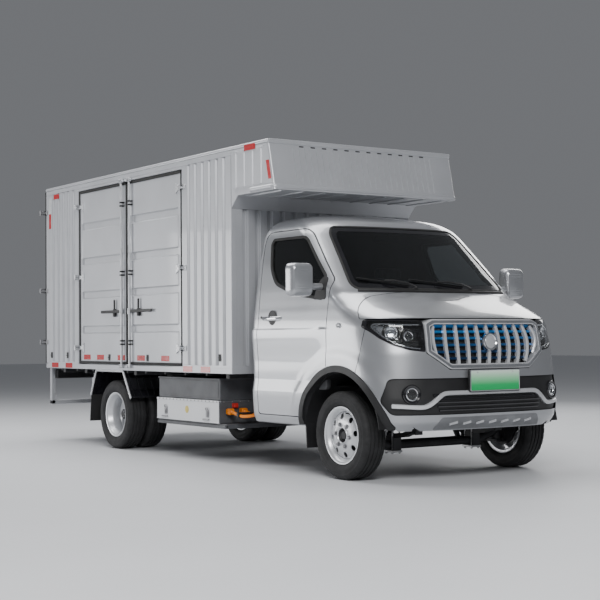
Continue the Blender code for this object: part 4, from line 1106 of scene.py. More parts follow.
def grille():
    """Bright hexagonal frame round bowed upright blades, with blue slats between them."""
    outer = rounded(GRILLE_OUTLINE, 0.015)
    inner = rounded(grown(GRILLE_OUTLINE, -0.034), 0.012)
    ring = carve(front_prism(outer, *NOSE_Y), front_prism(inner, -0.82, -0.28))
    piece("grille_frame", skin(ring, -0.008, 0.040), TRIM_SILVER, replaces="grille", sharp=30)
    lip = carve(front_prism(grown(outer, -0.008), *NOSE_Y), front_prism(grown(outer, -0.026), -0.82, -0.28))
    piece("grille_lip", skin(lip, -0.012, 0.010), CHROME)
    piece("grille_back", skin(front_prism(grown(inner, 0.002), *NOSE_Y), 0.050, 0.058), BLACK)
    half = 0.478
    blades = Shape()
    for k in range(BLADES):
        x = -half + 2 * half * (k + 0.5) / BLADES
        reach = grille_reach(x)
        line = []
        for j in range(15):
            t = j / 14
            z = reach[0] + (reach[1] - reach[0]) * t
            place, out = on_front(x, z)
            bow = 0.016 * sin(pi * t)
            line.append(((Vector((x * (1 + 0.05 * sin(pi * t)), place.y, z)) - out * (0.024 - bow)), out))
        ribbon(blades, line, [(-0.008, -0.022), (-0.011, 0.003), (-0.006, 0.012), (0.006, 0.012),
                              (0.011, 0.003), (0.008, -0.022)])
    piece("grille_blades", blades, TRIM_SILVER)
    slats = Shape()
    for k in range(SLATS + 1):
        z = 0.775 + (1.045 - 0.775) * k / SLATS
        width = grille_width(z)
        line = [on_front(x, z) for x in np.linspace(-width, width, 41)]
        ribbon(slats, [(at - out * 0.030, out) for at, out in line], bevelled(0.011, 0.007, 0.010, 0.006))
    piece("grille_slats", slats, BLUE)
    place, out = on_front(0, 0.925)
    turn = aim(place + out * 0.004, out)
    badge = turned([(-0.03, 0.0), (-0.03, 0.060), (0.004, 0.062), (0.012, 0.058), (0.012, 0.050),
                    (0.006, 0.044), (0.006, 0.0)], turn, 56)
    piece("grille_badge", badge, CHROME)
    boss = turned([(0.004, 0.0), (0.004, 0.043), (0.008, 0.043), (0.010, 0.030), (0.011, 0.0)], turn, 48)
    piece("grille_boss", boss, TRIM_SILVER)


def grille_reach(x):
    """Lowest and highest points of the grille's opening at a width."""
    x = abs(x)
    low = 0.782 if x < 0.33 else 0.782 + (x - 0.33) * 0.66
    high = 1.046 if x < 0.42 else 1.046 - (x - 0.42) * 0.45
    return low, high


def grille_width(z):
    """Half width of the grille's opening at a height."""
    return 0.330 + min(0.148, max(0, (z - 0.778) / 0.66)) if z < 0.9 else 0.478 - max(0, z - 1.02) * 1.5


def number_plate():
    """Blank plate in a thin frame on a black carrier."""
    low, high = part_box("number_plate")
    y0, y1 = low.y - AXLE_Y, high.y - AXLE_Y
    x, z = (low.x, high.x), (low.z, high.z)
    outline = rounded(rectangle(x, z), 0.012)
    piece("plate_blank", Shape().prism("Y", grown(outline, -0.004), y0 + 0.0025, y0 + 0.006, 0.0006), PLATE,
          replaces="number_plate")
    edge = [(a, y0 + 0.0035, b) for a, b in spaced(grown(outline, -0.0035), 0.01, True)]
    rim = Shape().sweep(edge, [(-0.0035, -0.003), (-0.0035, 0.002), (-0.001, 0.0035), (0.002, 0.003),
                               (0.0035, -0.003)], True, [(0, -1, 0)] * len(edge))
    piece("plate_rim", rim, ZINC, slot="chrome")
    carrier = Shape().prism("Y", grown(outline, 0.004), y0 + 0.006, y1 + 0.012, 0.001)
    carrier.block((-0.20, 0.20), (y1 + 0.010, y1 + 0.040), (z[0] + 0.02, z[1] - 0.02))
    piece("plate_carrier", carrier, BLACK)
    bolts = Shape()
    for sx in (-0.155, 0.155):
        bolts.dome((sx, y0 + 0.0026, z[1] - 0.018), 0.0055, (0, -1, 0), 0.002)
    piece("plate_bolts", bolts, ZINC)


def mirrors():
    """Rounded housings with stepped backs on short arms, silvered glass facing the driver."""
    low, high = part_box("mirror_left")
    x0, x1, y0, y1, z0, z1 = 0.885, high.x, 0.175, 0.265, low.z, high.z
    cx, cz = (x0 + x1) / 2, (z0 + z1) / 2
    rings = []
    for t, size in ((0.0, 0.80), (0.10, 0.90), (0.22, 0.955), (0.45, 0.99), (0.80, 1.0), (0.93, 0.995),
                    (1.0, 0.97)):
        hx, hz = (x1 - x0) / 2 * size, (z1 - z0) / 2 * size
        outline = rounded(rectangle((cx - hx, cx + hx), (cz - hz, cz + hz)), 0.045 * size, 8)
        rings.append([(x, y0 + (y1 - y0) * t, z) for x, z in outline])
    housing = Shape().rings(rings)
    for z in (z1 - 0.045, z1 - 0.062, z0 + 0.050, z0 + 0.066):
        line = [(x0 + 0.012, y1 - 0.012, z), (x0 - 0.0005, y0 + 0.050, z), (x0 + 0.012, y0 + 0.004, z),
                (cx, y0 - 0.001, z), (x1 - 0.012, y0 + 0.004, z), (x1 - 0.0025, y0 + 0.050, z),
                (x1 - 0.006, y1 - 0.012, z)]
        housing.sweep(rounded_path(line, 0.02), oval(0.003, 0.003, 8))
    both_sides("mirror_housing", housing, CAB_PAINT, "cab_door_*", replaces="mirror_*")
    arm = Shape()
    line = [(0.800, 0.226, 1.312), (0.850, 0.222, 1.313), (0.900, 0.216, 1.315), (0.930, 0.210, 1.318)]
    arm.sweep(line, oval(0.026, 0.024, 24))
    both_sides("mirror_arm", arm, CAB_PAINT, "cab_door_*")
    outline = rounded(rectangle((x0 + 0.014, x1 - 0.014), (z0 + 0.014, z1 - 0.014)), 0.030, 8)
    both_sides("mirror_glass", Shape().prism("Y", outline, y1 - 0.006, y1 + 0.0005, 0.001), MIRROR,
               "cab_door_*")


# ---- Wheels ----

TYRE_HALF_WIDTH = 0.0925
RIM_RADIUS = 0.195
RIM_SEAT = 0.1785
TWIN_X = (centre("rear_tyre_outer_left").x + centre("rear_tyre_inner_left").x) / 2
TYRE_STEPS = 200


def tyre(x, y):
    """A tyre with four tread grooves, cut shoulder blocks and moulded rings on its sidewalls."""
    half, top = TYRE_HALF_WIDTH, TYRE_RADIUS
    wall = [(-0.0655, RIM_SEAT + 0.003), (-0.0680, RIM_RADIUS + 0.003), (-0.0770, 0.2020),
            (-0.0840, 0.2100), (-0.0845, 0.2125), (-0.0868, 0.2150), (-half + 0.0015, 0.2260),
            (-half, 0.2380), (-half + 0.0008, 0.2440), (-half - 0.0002, 0.2452), (-half - 0.0002, 0.2472),
            (-half + 0.0012, 0.2484), (-0.0905, 0.2600), (-0.0893, 0.2665), (-0.0899, 0.2680),
            (-0.0886, 0.2700), (-0.0855, 0.2780), (-0.0820, 0.2860)]
    depth = 0.0075
    tread = [(-0.0755, 0.2925), (-0.0685, 0.2972)]
    for groove in (-0.047, -0.0165):
        tread += [(groove - 0.0052, top - 0.0006), (groove - 0.0030, top - depth),
                  (groove + 0.0030, top - depth), (groove + 0.0052, top - 0.0006)]
    left = wall + tread
    profile = left + [(0.0, top)] + [(-u, r) for u, r in reversed(left)]
    rings = []
    for i, a in enumerate(around(TYRE_STEPS)):
        cut = 0.004 if i % 5 == 0 else 0.0
        rib = 0.0022 if i % 5 in (0, 3) else 0.0
        ring = []
        for u, r in profile:
            if abs(u) > 0.060 and 0.279 < r:
                r -= cut
            elif r > top - 0.002 and 0.02 < abs(u) < 0.060:
                r -= rib
            ring.append((x + u, y + r * cos(a), AXLE_Z + r * sin(a)))
        rings.append(ring)
    return Shape().rings(rings, closed=True)


def turn_about(shape, y, angle):
    """The shape turned about a wheel's axle."""
    middle = Vector((0, y, AXLE_Z))
    turn = Matrix.Translation(middle) @ Matrix.Rotation(angle, 4, "X") @ Matrix.Translation(-middle)
    return shape.moved(turn)


HAND_HOLES = 8
NUTS = 6


def front_wheel():
    """A steel disc that bulges outwards round an open hub, with round hand holes and six nuts."""
    x = FRONT_WHEEL_X
    barrel = [(0.0755, 0.1935), (0.0750, 0.1955), (0.0725, 0.1960), (0.0690, 0.1945), (0.0672, 0.1900),
              (0.0665, RIM_SEAT + 0.001), (0.030, RIM_SEAT), (-0.067, RIM_SEAT + 0.001), (-0.068, 0.1945),
              (-0.0745, 0.1955), (-0.0755, 0.1930), (-0.0720, 0.1745), (-0.045, 0.1700), (0.0, 0.1560),
              (0.030, 0.1560), (0.055, 0.1660), (0.066, 0.1735), (0.0715, 0.1800), (0.0735, 0.1880)]
    ring = solid(Shape().lathe([(x + u, r) for u, r in barrel], (0, 0, AXLE_Z), "X", 96))
    disc_face = [(0.036, 0.1575), (0.0375, 0.1560), (0.0440, 0.1500), (0.0500, 0.1380), (0.0560, 0.1180),
                 (0.0600, 0.1020), (0.0620, 0.0900), (0.0622, 0.0640), (0.0655, 0.0580), (0.0690, 0.0560),
                 (0.0700, 0.0520)]
    disc_back = [(0.0640, 0.0480), (0.0560, 0.0600), (0.0560, 0.0900), (0.0540, 0.1000), (0.0440, 0.1360),
                 (0.0380, 0.1480), (0.0280, 0.1575)]
    disc = solid(Shape().lathe([(x + u, r) for u, r in disc_face + disc_back], (0, 0, AXLE_Z), "X", 96))

    def disc_reach(radius):
        return np.interp(radius, [r for _, r in reversed(disc_face)], [u for u, _ in reversed(disc_face)])

    holes = []
    lips = Shape()
    hole_at, hole_radius, hole_sides = 0.131, 0.0205, 28
    for a in around(HAND_HOLES):
        a += radians(37)
        y, z = hole_at * cos(a), AXLE_Z + hole_at * sin(a)
        holes.append(bore(x + 0.01, x + 0.09, y, z, hole_radius, hole_sides))
        lip = [(y + dy, z + dz) for dy, dz in oval(hole_radius + 0.001, hole_radius + 0.001, hole_sides)]
        lips.sweep([(x + disc_reach(hypot(ly, lz - AXLE_Z)), ly, lz) for ly, lz in lip],
                   oval(0.0022, 0.0022, 8), True, [(1, 0, 0)] * hole_sides)
    carve(disc, *holes)
    whole = shape_of(ring).join(shape_of(disc)).join(lips)
    both_sides("front_wheel_rim", whole, WHEEL_PAINT, "front_wheel_*", replaces="front_rim_*")
    nuts = Shape().nut_circle((x + 0.0625, 0, AXLE_Z), 0.078, NUTS, 8, 0.0125, 0.015)
    both_sides("front_wheel_nuts", nuts, BARE_STEEL, "front_wheel_*")
    hub = Shape().lathe([(x + u, r) for u, r in ((0.030, 0.034), (0.030, 0.047), (0.060, 0.0485),
                                                 (0.062, 0.046), (0.050, 0.042), (0.040, 0.034))],
                        (0, 0, AXLE_Z), "X", 48)
    both_sides("front_wheel_hub", hub, CHASSIS, "front_wheel_*")
    valve = Shape().tube([(x + 0.048, 0, AXLE_Z + 0.158), (x + 0.066, 0, AXLE_Z + 0.163),
                          (x + 0.084, 0, AXLE_Z + 0.166)], 0.0042, 10)
    both_sides("front_wheel_valve", turn_about(valve, 0, 0.4), BLACK, "front_wheel_*")
    both_sides("front_wheel_tyre", tyre(x, 0), TYRE, "front_wheel_*", replaces="front_tyre_*")


def rear_wheels():
    """Two deep-dished rims bolted disc to disc on each side, each with its tyre."""
    y = WHEELBASE
    spacing = centre("rear_tyre_outer_left").x - TWIN_X
    for name, way in (("outer", 1), ("inner", -1)):
        x = TWIN_X + way * spacing
        both_sides(f"rear_tyre_{name}_rubber", tyre(x, y), TYRE, "rear_wheel_*",
                   replaces=f"rear_tyre_{name}_*")
    half = [(0.0275, 0.1930), (0.0290, 0.1955), (0.0335, 0.1955), (0.0350, 0.1880), (0.0355, RIM_SEAT),
            (0.1695, RIM_SEAT), (0.1700, 0.1900), (0.1715, 0.1950), (0.1760, 0.1958), (0.1782, 0.1930),
            (0.1775, 0.1860), (0.1745, 0.1790), (0.1680, 0.1725), (0.1500, 0.1690), (0.1380, 0.1600),
            (0.1205, 0.1550), (0.0700, 0.1550), (0.0500, 0.1600), (0.0300, 0.1500), (0.0170, 0.1330),
            (0.0135, 0.1200), (0.0130, 0.1050), (0.0110, 0.0950), (0.0060, 0.0900), (0.0060, 0.0530)]
    back = [(0.0015, 0.0530), (0.0015, 0.1260), (0.0100, 0.1420), (0.0275, 0.1650)]
    for name, way in (("outer", 1), ("inner", -1)):
        profile = [(TWIN_X + way * u, r) for u, r in half + back]
        rim = solid(Shape().lathe(profile, (0, y, AXLE_Z), "X", 96))
        hole_at, hole_radius = 0.112, 0.0145
        for a in around(HAND_HOLES):
            a += radians(20)
            carve(rim, bore(TWIN_X - way * 0.02, TWIN_X + way * 0.05, y + hole_at * cos(a),
                            AXLE_Z + hole_at * sin(a), hole_radius, 24))
        both_sides(f"rear_rim_{name}", shape_of(rim), WHEEL_PAINT, "rear_wheel_*", replaces="rear_rims_*")
    hub = Shape().lathe([(TWIN_X + u, r) for u, r in ((-0.03, 0.0), (-0.03, 0.052), (0.050, 0.052),
                                                      (0.058, 0.047), (0.100, 0.043), (0.106, 0.036),
                                                      (0.108, 0.0))], (0, y, AXLE_Z), "X", 48)
    both_sides("rear_wheel_hub", hub, CHASSIS, "rear_wheel_*")
    nuts = Shape().nut_circle((TWIN_X + 0.0065, y, AXLE_Z), 0.071, NUTS, 15, 0.0100, 0.016)
    nuts.nut_circle((TWIN_X + 0.106, y, AXLE_Z), 0.030, 8, 0, 0.0045, 0.005)
    both_sides("rear_wheel_nuts", nuts, BARE_STEEL, "rear_wheel_*")


# ---- Running gear ----


def running_gear():
    """Frame and axles from the CAD in underbody black, with bolts, clips, dampers and pipes added."""
    for node in ("chassis_frame", "front_axle", "rear_axle", "knuckle_left", "knuckle_right",
                 "junction_box"):
        dress(node, CHASSIS)
    dress("tie_rod", STEEL)
    rail_x, low, high = 0.360, 0.460, 0.580
    bolts = Shape()
    for y in (-0.44, 0.30, 0.62, 1.10, 1.38, 2.76, 3.06, 3.70, 4.30, 4.64):
        for dy in (-0.018, 0.018):
            for z in (low + 0.030, high - 0.030):
                bolts.nut((rail_x + 0.030, y + dy, z), (1, 0, 0), 0.008, 0.007)
    both_sides("frame_bolts", bolts, CHASSIS)
    for end, y, seat, width in (("front", 0.0, 0.170, 0.045), ("rear", WHEELBASE, AXLE_Z - 0.060, 0.050)):
        clips = Shape()
        for dy in (-width * 0.8, width * 0.8):
            top = seat + (0.155 if end == "front" else 0.170)
            line = [(rail_x - 0.031, y + dy, seat - 0.012), (rail_x - 0.031, y + dy, top - 0.01),
                    (rail_x - 0.022, y + dy, top), (rail_x + 0.022, y + dy, top),
                    (rail_x + 0.031, y + dy, top - 0.01), (rail_x + 0.031, y + dy, seat - 0.012)]
            clips.tube(rounded_path(line, 0.01), 0.0060, 10)
            for x in (rail_x - 0.031, rail_x + 0.031):
                clips.nut((x, y + dy, seat - 0.001), (0, 0, -1), 0.010, 0.012)
        clips.block((rail_x - 0.045, rail_x + 0.045), (y - width * 1.2, y + width * 1.2),
                    (seat - 0.004, seat + 0.010))
        both_sides(f"spring_clips_{end}", clips, STEEL)
        bands = Shape()
        for way in (-1, 1):
            for reach in (0.28, 0.40):
                u = reach / (0.50 if end == "front" else 0.56)
                z = (0.260 if end == "front" else AXLE_Z + 0.046) + 0.15 * u * u
                bands.block((rail_x - 0.031, rail_x + 0.031),
                            (y + way * reach - 0.012, y + way * reach + 0.012), (z - 0.008, z + 0.045),
                            0.002)
        both_sides(f"spring_bands_{end}", bands, CHASSIS)
    damper = Shape()
    damper.tube([(0.300, 0.075, 0.235), (0.290, 0.150, 0.370)], 0.020, 16)
    damper.tube([(0.290, 0.150, 0.370), (0.286, 0.185, 0.445)], 0.026, 16)
    damper.tube([(0.270, 0.075, 0.232), (0.325, 0.075, 0.232)], 0.010, 12)
    both_sides("front_damper", damper, CHASSIS)
    ends = Shape()
    for x in (-0.600, 0.600):
        ends.lathe([(-0.016, 0.0), (-0.016, 0.014), (-0.006, 0.019), (0.008, 0.017), (0.014, 0.009),
                    (0.014, 0.0)], (x, 0.140, 0.227), "Z", 20)
    piece("tie_rod_joints", ends, CHASSIS, "tie_rod")
    pipes = Shape()
    pipes.tube(smooth_route([(0.325, y, 0.548 + 0.006 * sin(y * 5)) for y in np.linspace(0.10, 4.55, 24)]),
               0.0045, 8)
    pipes.tube(smooth_route([(0.322, y, 0.532 + 0.005 * cos(y * 4)) for y in np.linspace(0.10, 4.55, 24)]),
               0.0060, 8)
    piece("frame_pipes", pipes, BLACK)
    motor = Shape()
    y, z = WHEELBASE - 0.03, 0.305
    for k in range(9):
        x = -0.02 + 0.026 * k
        motor.lathe([(-0.004, 0.129), (-0.003, 0.138), (0.003, 0.138), (0.004, 0.129)], (x, y, z), "X", 40)
    motor.lathe([(0.0, 0.0), (0.0, 0.118), (0.010, 0.112), (0.012, 0.0)], (0.240, y, z), "X", 40)
    motor.nut_circle((0.250, y, z), 0.100, 8, 0, 0.007, 0.006)
    piece("drive_unit_fins", motor, STEEL)


def dress(node, look):
    """Gives a CAD node its material."""
    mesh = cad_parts[node].data
    mesh.materials.clear()
    mesh.materials.append(look)


def smooth_route(points, steps=6):
    """Catmull-Rom points through a route."""
    points = [Vector(point) for point in points]
    ends = [2 * points[0] - points[1]] + points + [2 * points[-1] - points[-2]]
    out = []
    for a, b, c, d in zip(ends, ends[1:], ends[2:], ends[3:]):
        for i in range(steps):
            t = i / steps
            out.append(0.5 * (2 * b + (c - a) * t + (2 * a - 5 * b + 4 * c - d) * t * t
                              + (3 * b - a - 3 * c + d) * t * t * t))
    return out + [points[-1]]


# ---- Battery and cables ----

BATTERY_Y = (1.575, 2.590)
BATTERY_X = 0.820


def battery():
    """White lower case with a riveted lid edge and latches, grey upper covers and a tray below."""
    y0, y1 = BATTERY_Y
    x = BATTERY_X
    case = Shape().block((-x, x), (y0, y1), (0.302, 0.476), 0.006)
    for edge in ((0.462, 0.478), (0.303, 0.313)):
        case.pair((x - 0.010, x + 0.0035), (y0 + 0.004, y1 - 0.004), edge, 0.002)
    case.block((-x + 0.01, x - 0.01), (y0 - 0.0035, y0 + 0.01), (0.462, 0.478), 0.002)
    case = clad(solid(case), lambda at, normal: 1 if at.y < y0 + 0.004 and abs(normal.y) > 0.5 else 0,
                (BATTERY_PAINT, COVER_GREY))
    piece("battery_case", case, BATTERY_PAINT, replaces="battery_pack")
    label = Shape()
    for way in WAYS:
        label.lathe([(way * x, 0.0), (way * x, 0.030), (way * (x + 0.0012), 0.030),
                     (way * (x + 0.0012), 0.0)][::way], (0, (y0 + y1) / 2, 0.395), "X", 28)
    piece("battery_labels", label, STICKER)
    rivets = Shape()
    for way in WAYS:
        for y in np.arange(y0 + 0.03, y1, 0.058):
            rivets.dome((way * (x + 0.0035), y, 0.470), 0.0065, (way, 0, 0), 0.003, 10, 3)
    for xx in np.arange(-x + 0.04, x, 0.075):
        rivets.dome((xx, y0 - 0.0035, 0.470), 0.0055, (0, -1, 0), 0.003, 10, 3)
    piece("battery_rivets", rivets, BARE_STEEL)
    latches = Shape()
    for way in WAYS:
        for y in (y0 + 0.175, y1 - 0.165):
            face = way * (x + 0.001)
            latches.block((face, face + way * 0.008), (y - 0.020, y + 0.020), (0.345, 0.405), 0.003)
            latches.block((face, face + way * 0.014), (y - 0.010, y + 0.010), (0.352, 0.392), 0.003)
            latches.block((face, face + way * 0.010), (y - 0.024, y + 0.070 * way * -1), (0.322, 0.332),
                          0.002)
            latches.tube([(face + way * 0.006, y - 0.018, 0.400), (face + way * 0.011, y - 0.014, 0.418),
                          (face + way * 0.011, y + 0.014, 0.418), (face + way * 0.006, y + 0.018, 0.400)],
                         0.0035, 8)
    piece("battery_latches", latches, BARE_STEEL)
    tray = Shape().block((-x + 0.015, x - 0.015), (y0 - 0.085, y1 - 0.005), (0.266, 0.303), 0.004)
    tray.pair((x - 0.030, x - 0.002), (y0 - 0.085, y1 - 0.005), (0.266, 0.292), 0.003)
    piece("battery_tray", tray, COVER_GREY)
    covers = Shape().pair((0.415, x - 0.020), (y0 + 0.020, y1 - 0.002), (0.478, 0.650), 0.006)
    covers.pair((0.412, x - 0.012), (y0 + 0.014, y1), (0.636, 0.650))
    covers.pair((x - 0.020, x - 0.0175), (y0 + 0.045, y1 - 0.030), (0.500, 0.628), 0.002)
    piece("battery_covers", covers, COVER_GREY)
    straps = Shape()
    for y in (y0 + 0.10, (y0 + y1) / 2, y1 - 0.10):
        straps.block((-x - 0.0015, x + 0.0015), (y - 0.020, y + 0.020), (0.2995, 0.3035), 0.001)
    piece("battery_straps", straps, COVER_GREY)


def cables():
    """Orange cables from the battery's front face, in ribbed sheaths, to the connection box."""
    y0 = BATTERY_Y[0]
    routes = (
        ((-0.74, y0 - 0.05, 0.395), (-0.74, 1.50, 0.390), (-0.725, 1.38, 0.365), (-0.66, 1.26, 0.385),
         (-0.56, 1.18, 0.440), (-0.520, 1.13, 0.460), (-0.515, 1.082, 0.462)),
        ((-0.62, y0 - 0.05, 0.395), (-0.62, 1.50, 0.390), (-0.610, 1.38, 0.372), (-0.57, 1.26, 0.390),
         (-0.48, 1.18, 0.470), (-0.452, 1.13, 0.500), (-0.450, 1.082, 0.505)),
    )
    sheath = Shape()
    for route in routes:
        path = smooth_route(route, 22)
        circle = [(cos(a), sin(a)) for a in around(14)]
        out = Vector((0, 0, 1))
        rings = []
        for i, point in enumerate(path):
            ahead = (path[min(i + 1, len(path) - 1)] - path[max(i - 1, 0)]).normalized()
            out = (out - ahead * out.dot(ahead)).normalized()
            across = ahead.cross(out)
            radius = 0.0130 if i % 2 else 0.0112
            rings.append([point + (across * a + out * b) * radius for a, b in circle])
        sheath.rings(rings)
        x = route[0][0]
        sheath.block((x - 0.026, x + 0.026), (y0 - 0.055, y0 - 0.004), (0.371, 0.419), 0.006)
    piece("cable_sheaths", sheath, ORANGE, replaces="hv_cables")
    clip = Shape().block((-0.755, -0.585), (1.405, 1.435), (0.352, 0.394), 0.006)
    piece("cable_clip", clip, BLACK)
    socket = Shape().block((-0.706, -0.650), (y0 - 0.004, y0 + 0.002), (0.418, 0.458), 0.004)
    socket.block((-0.702, -0.660), (y0 - 0.026, y0), (0.422, 0.454), 0.005)
    piece("battery_socket", socket, RED_PLASTIC)
    box = Shape()
    low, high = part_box("junction_box")
    y = (low.y - AXLE_Y, high.y - AXLE_Y)
    box.block((low.x - 0.004, high.x - 0.002), (y[0] - 0.004, y[1] + 0.002),
              (high.z - 0.014, high.z + 0.002), 0.003)
    for sy in (y[0] + 0.012, y[1] - 0.012):
        for sx in (low.x + 0.012, high.x - 0.014):
            box.nut((sx, sy, high.z + 0.002), (0, 0, 1), 0.005, 0.004)
    piece("connection_box_lid", box, CHASSIS)


# ---- Mudguards and underrun ----


def mudguards():
    """Bent black sheets with pressed ribs, bright outer edges and hanging flaps."""
    top = 0.690 - CLEAR
    line = [(3.015, 0.455), (3.165, top), (3.700, top), (3.815, 0.460)]
    sheet = 0.006
    outline = line + [(3.808, 0.460), (3.695, top - sheet), (3.170, top - sheet), (3.022, 0.455)]
    guard = Shape().prism("X", outline, 0.430, 0.843)
    for x in np.linspace(0.470, 0.800, 6):
        for a, b in ((line[0], line[1]), (line[3], line[2])):
            a, b = Vector(a), Vector(b)
            out = Vector((b.y - a.y, a.x - b.x)).normalized()
            if (out.x > 0) == (a.x < WHEELBASE):
                out = -out
            p, q = a.lerp(b, 0.06), a.lerp(b, 0.93)
            guard.sweep([(x, p.x, p.y), (x, q.x, q.y)], flat(0.014, 0.006, 0.004),
                        outs=[(0, out.x, out.y)] * 2)
    both_sides("rear_guard", guard, GLOSS_BLACK, replaces="rear_mudguard_*")
    edge = Shape()
    rim = [(0.8435, y, z) for y, z in line]
    edge.sweep(rounded_path(rim, 0.02), bevelled(0.004, 0.004, 0.016, 0.004))
    both_sides("rear_guard_edge", edge, TRIM_SILVER)
    flap = Shape().prism("X", ((3.815, 0.475), (3.845, 0.222), (3.838, 0.222), (3.806, 0.475)), 0.445,
                         0.838, 0.002)
    both_sides("rear_flap", flap, RUBBER)


def underrun():
    """Square-tube guard with welded corners, and blank lamp clusters on its upper plate."""
    low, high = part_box("rear_underrun")
    y = high.y - AXLE_Y
    tube, post_x, bar_z = 0.040, 0.800, low.z
    guard = Shape().block((-post_x - tube / 2, post_x + tube / 2), (y - tube, y), (bar_z, bar_z + tube),
                          0.004)
    boxes = Shape()
    lamps = {"red": Shape(), "amber": Shape(), "white": Shape()}
    guard.pair((post_x - tube / 2, post_x + tube / 2), (y - tube, y), (bar_z + 0.002, 0.689), 0.004)
    guard.pair((0.340, 0.380), (4.701, y - 0.004), (bar_z + 0.005, 0.600), 0.004)
    guard.pair((0.340, 0.420), (4.701, y - 0.030), (0.585, 0.620), 0.004)
    guard.pair((0.770, 0.784), (y - 0.040, y - 0.004), (bar_z + 0.038, bar_z + 0.085), 0.002)
    boxes.pair((0.402, 0.779), (y - 0.085, y - 0.016), (0.586, 0.677), 0.006)
    for look, reach in (("red", (0.415, 0.535)), ("white", (0.540, 0.610)), ("amber", (0.615, 0.690)),
                        ("red", (0.695, 0.768))):
        lamps[look].pair(reach, (y - 0.020, y - 0.011), (0.596, 0.667), 0.006)
    piece("underrun_guard", guard, BOX_PAINT, replaces="rear_underrun")
    piece("tail_lamp_boxes", boxes, BLACK)
    for name, look in (("red", RED), ("amber", AMBER), ("white", WHITE)):
        piece(f"tail_lamps_{name}", lamps[name], look)
    plate = Shape().block((-0.235, 0.235), (y - 0.036, y - 0.028), (0.520, 0.676), 0.002)
    piece("rear_plate_panel", plate, CHASSIS)
    blank = Shape().prism("Y", rounded(rectangle((-0.22, 0.22), (0.529, 0.669)), 0.012),
                          y - 0.029, y - 0.025, 0.0008)
    piece("rear_plate_blank", blank, BATTERY_PAINT)
    lamp = Shape().block((-0.050, 0.050), (y - 0.030, y - 0.004), (0.674, 0.688), 0.004)
    piece("rear_plate_lamp", lamp, BLACK)


# ---- Cargo body ----

BOX_X = 0.855
BOX_FRONT_Y = 1.323
BOX_REAR_Y = 4.767
BOX_TOP_Z = 2.415
FLOOR_TOP_Z = 0.735
ROOF_UNDER_Z = 2.383
WALL = 0.040
WALL_Z = (0.7355, 2.3825)
RAIL_Z = (0.690, 0.752)
TOP_RAIL_Z = (2.345, 2.3828)
RIB_PITCH = 0.115
RIB_DEPTH = 0.020
RIB_CREST = 0.062
RIB_SLOPE = 0.014
CORNER_POST = 0.055
REAR_FRAME_Y = 4.707
SIDE_DOOR_Y = (2.090, 4.040)
SIDE_DOOR_Z = (0.741, 2.3167)
FACE_X = 0.847
LEAF = 0.036
MIDDLE_Y = sum(SIDE_DOOR_Y) / 2
SIDE_PIN_X = 0.884
REAR_PIN_X = 0.900
REAR_DOOR_X = (0.003, 0.852)
REAR_DOOR_Z = (0.739, 2.3787)
REAR_BAR_X = 0.090
HANDLE_Z = 1.200
DOORWAY_TOP_Z = 2.3227
CLEAR = 0.0006
EDGE_RUBBER = 0.020
SIDE_BAR_X = FACE_X + 0.0215
BAND_Z = (1.047, 1.361, 1.669, 1.987)
BAND_HALF = 0.037
PEAK_TOP_Y = 0.808
PEAK_FOOT_Y = 0.722
PEAK_FLOOR_Z = 2.034
PEAK_GUSSET = 0.094
PEAK_BACK_Y = BOX_FRONT_Y - 0.0004
PEAK_LEAN = (PEAK_TOP_Y - PEAK_FOOT_Y) / (BOX_TOP_Z - PEAK_FLOOR_Z)


def ribbed_edge(start, end, face, inward):
    """Points along an outer face pressed into ribs with rounded shoulders."""
    count = max(1, round((end - start) / RIB_PITCH))
    pitch = (end - start) / count
    points = [(start, face)]
    for i in range(count):
        at = start + RIB_CREST / 2 + i * pitch
        valley = pitch - RIB_CREST - 2 * RIB_SLOPE
        slope = [(t, smoothstep(t, 0, 1)) for t in (0.0, 0.25, 0.5, 0.75, 1.0)]
        points += [(at + RIB_SLOPE * t, face + inward * depth) for t, depth in slope]
        points += [(at + RIB_SLOPE + valley + RIB_SLOPE * t, face + inward * (1 - depth)) for t,
                   depth in slope]
    return points + [(end, face)]


def wall_panel(y0, y1):
    """A stretch of left-hand wall: rounded ribs between two plain posts."""
    edge = ribbed_edge(y0 + CORNER_POST, y1 - CORNER_POST, BOX_X, -RIB_DEPTH)
    soft = 0.004
    outline = [(BOX_X - soft, y0), (BOX_X, y0 + soft)] + [(x, y) for y, x in edge] + [(BOX_X, y1 - soft),
                                                                                     (BOX_X - soft, y1)]
    outline += [(BOX_X - WALL, y1), (BOX_X - WALL, y0)]
    return Shape().prism("Z", outline, *WALL_Z)


def walls():
    end = REAR_FRAME_Y - CLEAR
    piece("wall_left", wall_panel(BOX_FRONT_Y, end), BOX_PAINT, replaces="cargo_wall_left", sharp=25)
    right = wall_panel(BOX_FRONT_Y, SIDE_DOOR_Y[0]).join(wall_panel(SIDE_DOOR_Y[1], end))
    right.block((BOX_X - WALL, BOX_X), (SIDE_DOOR_Y[0] - 0.001, SIDE_DOOR_Y[1] + 0.001),
                (DOORWAY_TOP_Z, WALL_Z[1]))
    piece("wall_right", right.mirrored(), BOX_PAINT, replaces="cargo_wall_right", sharp=25)
    half = BOX_X - WALL - CLEAR
    edge = ribbed_edge(-half + 0.03, half - 0.03, BOX_FRONT_Y, RIB_DEPTH)
    outline = [(-half, BOX_FRONT_Y)] + edge + [(half, BOX_FRONT_Y), (half, BOX_FRONT_Y + WALL),
                                               (-half, BOX_FRONT_Y + WALL)]
    front = Shape().prism("Z", outline, WALL_Z[0], PEAK_FLOOR_Z - PEAK_GUSSET - CLEAR)
    piece("wall_front", front, BOX_PAINT, replaces="cargo_front_wall", sharp=25)


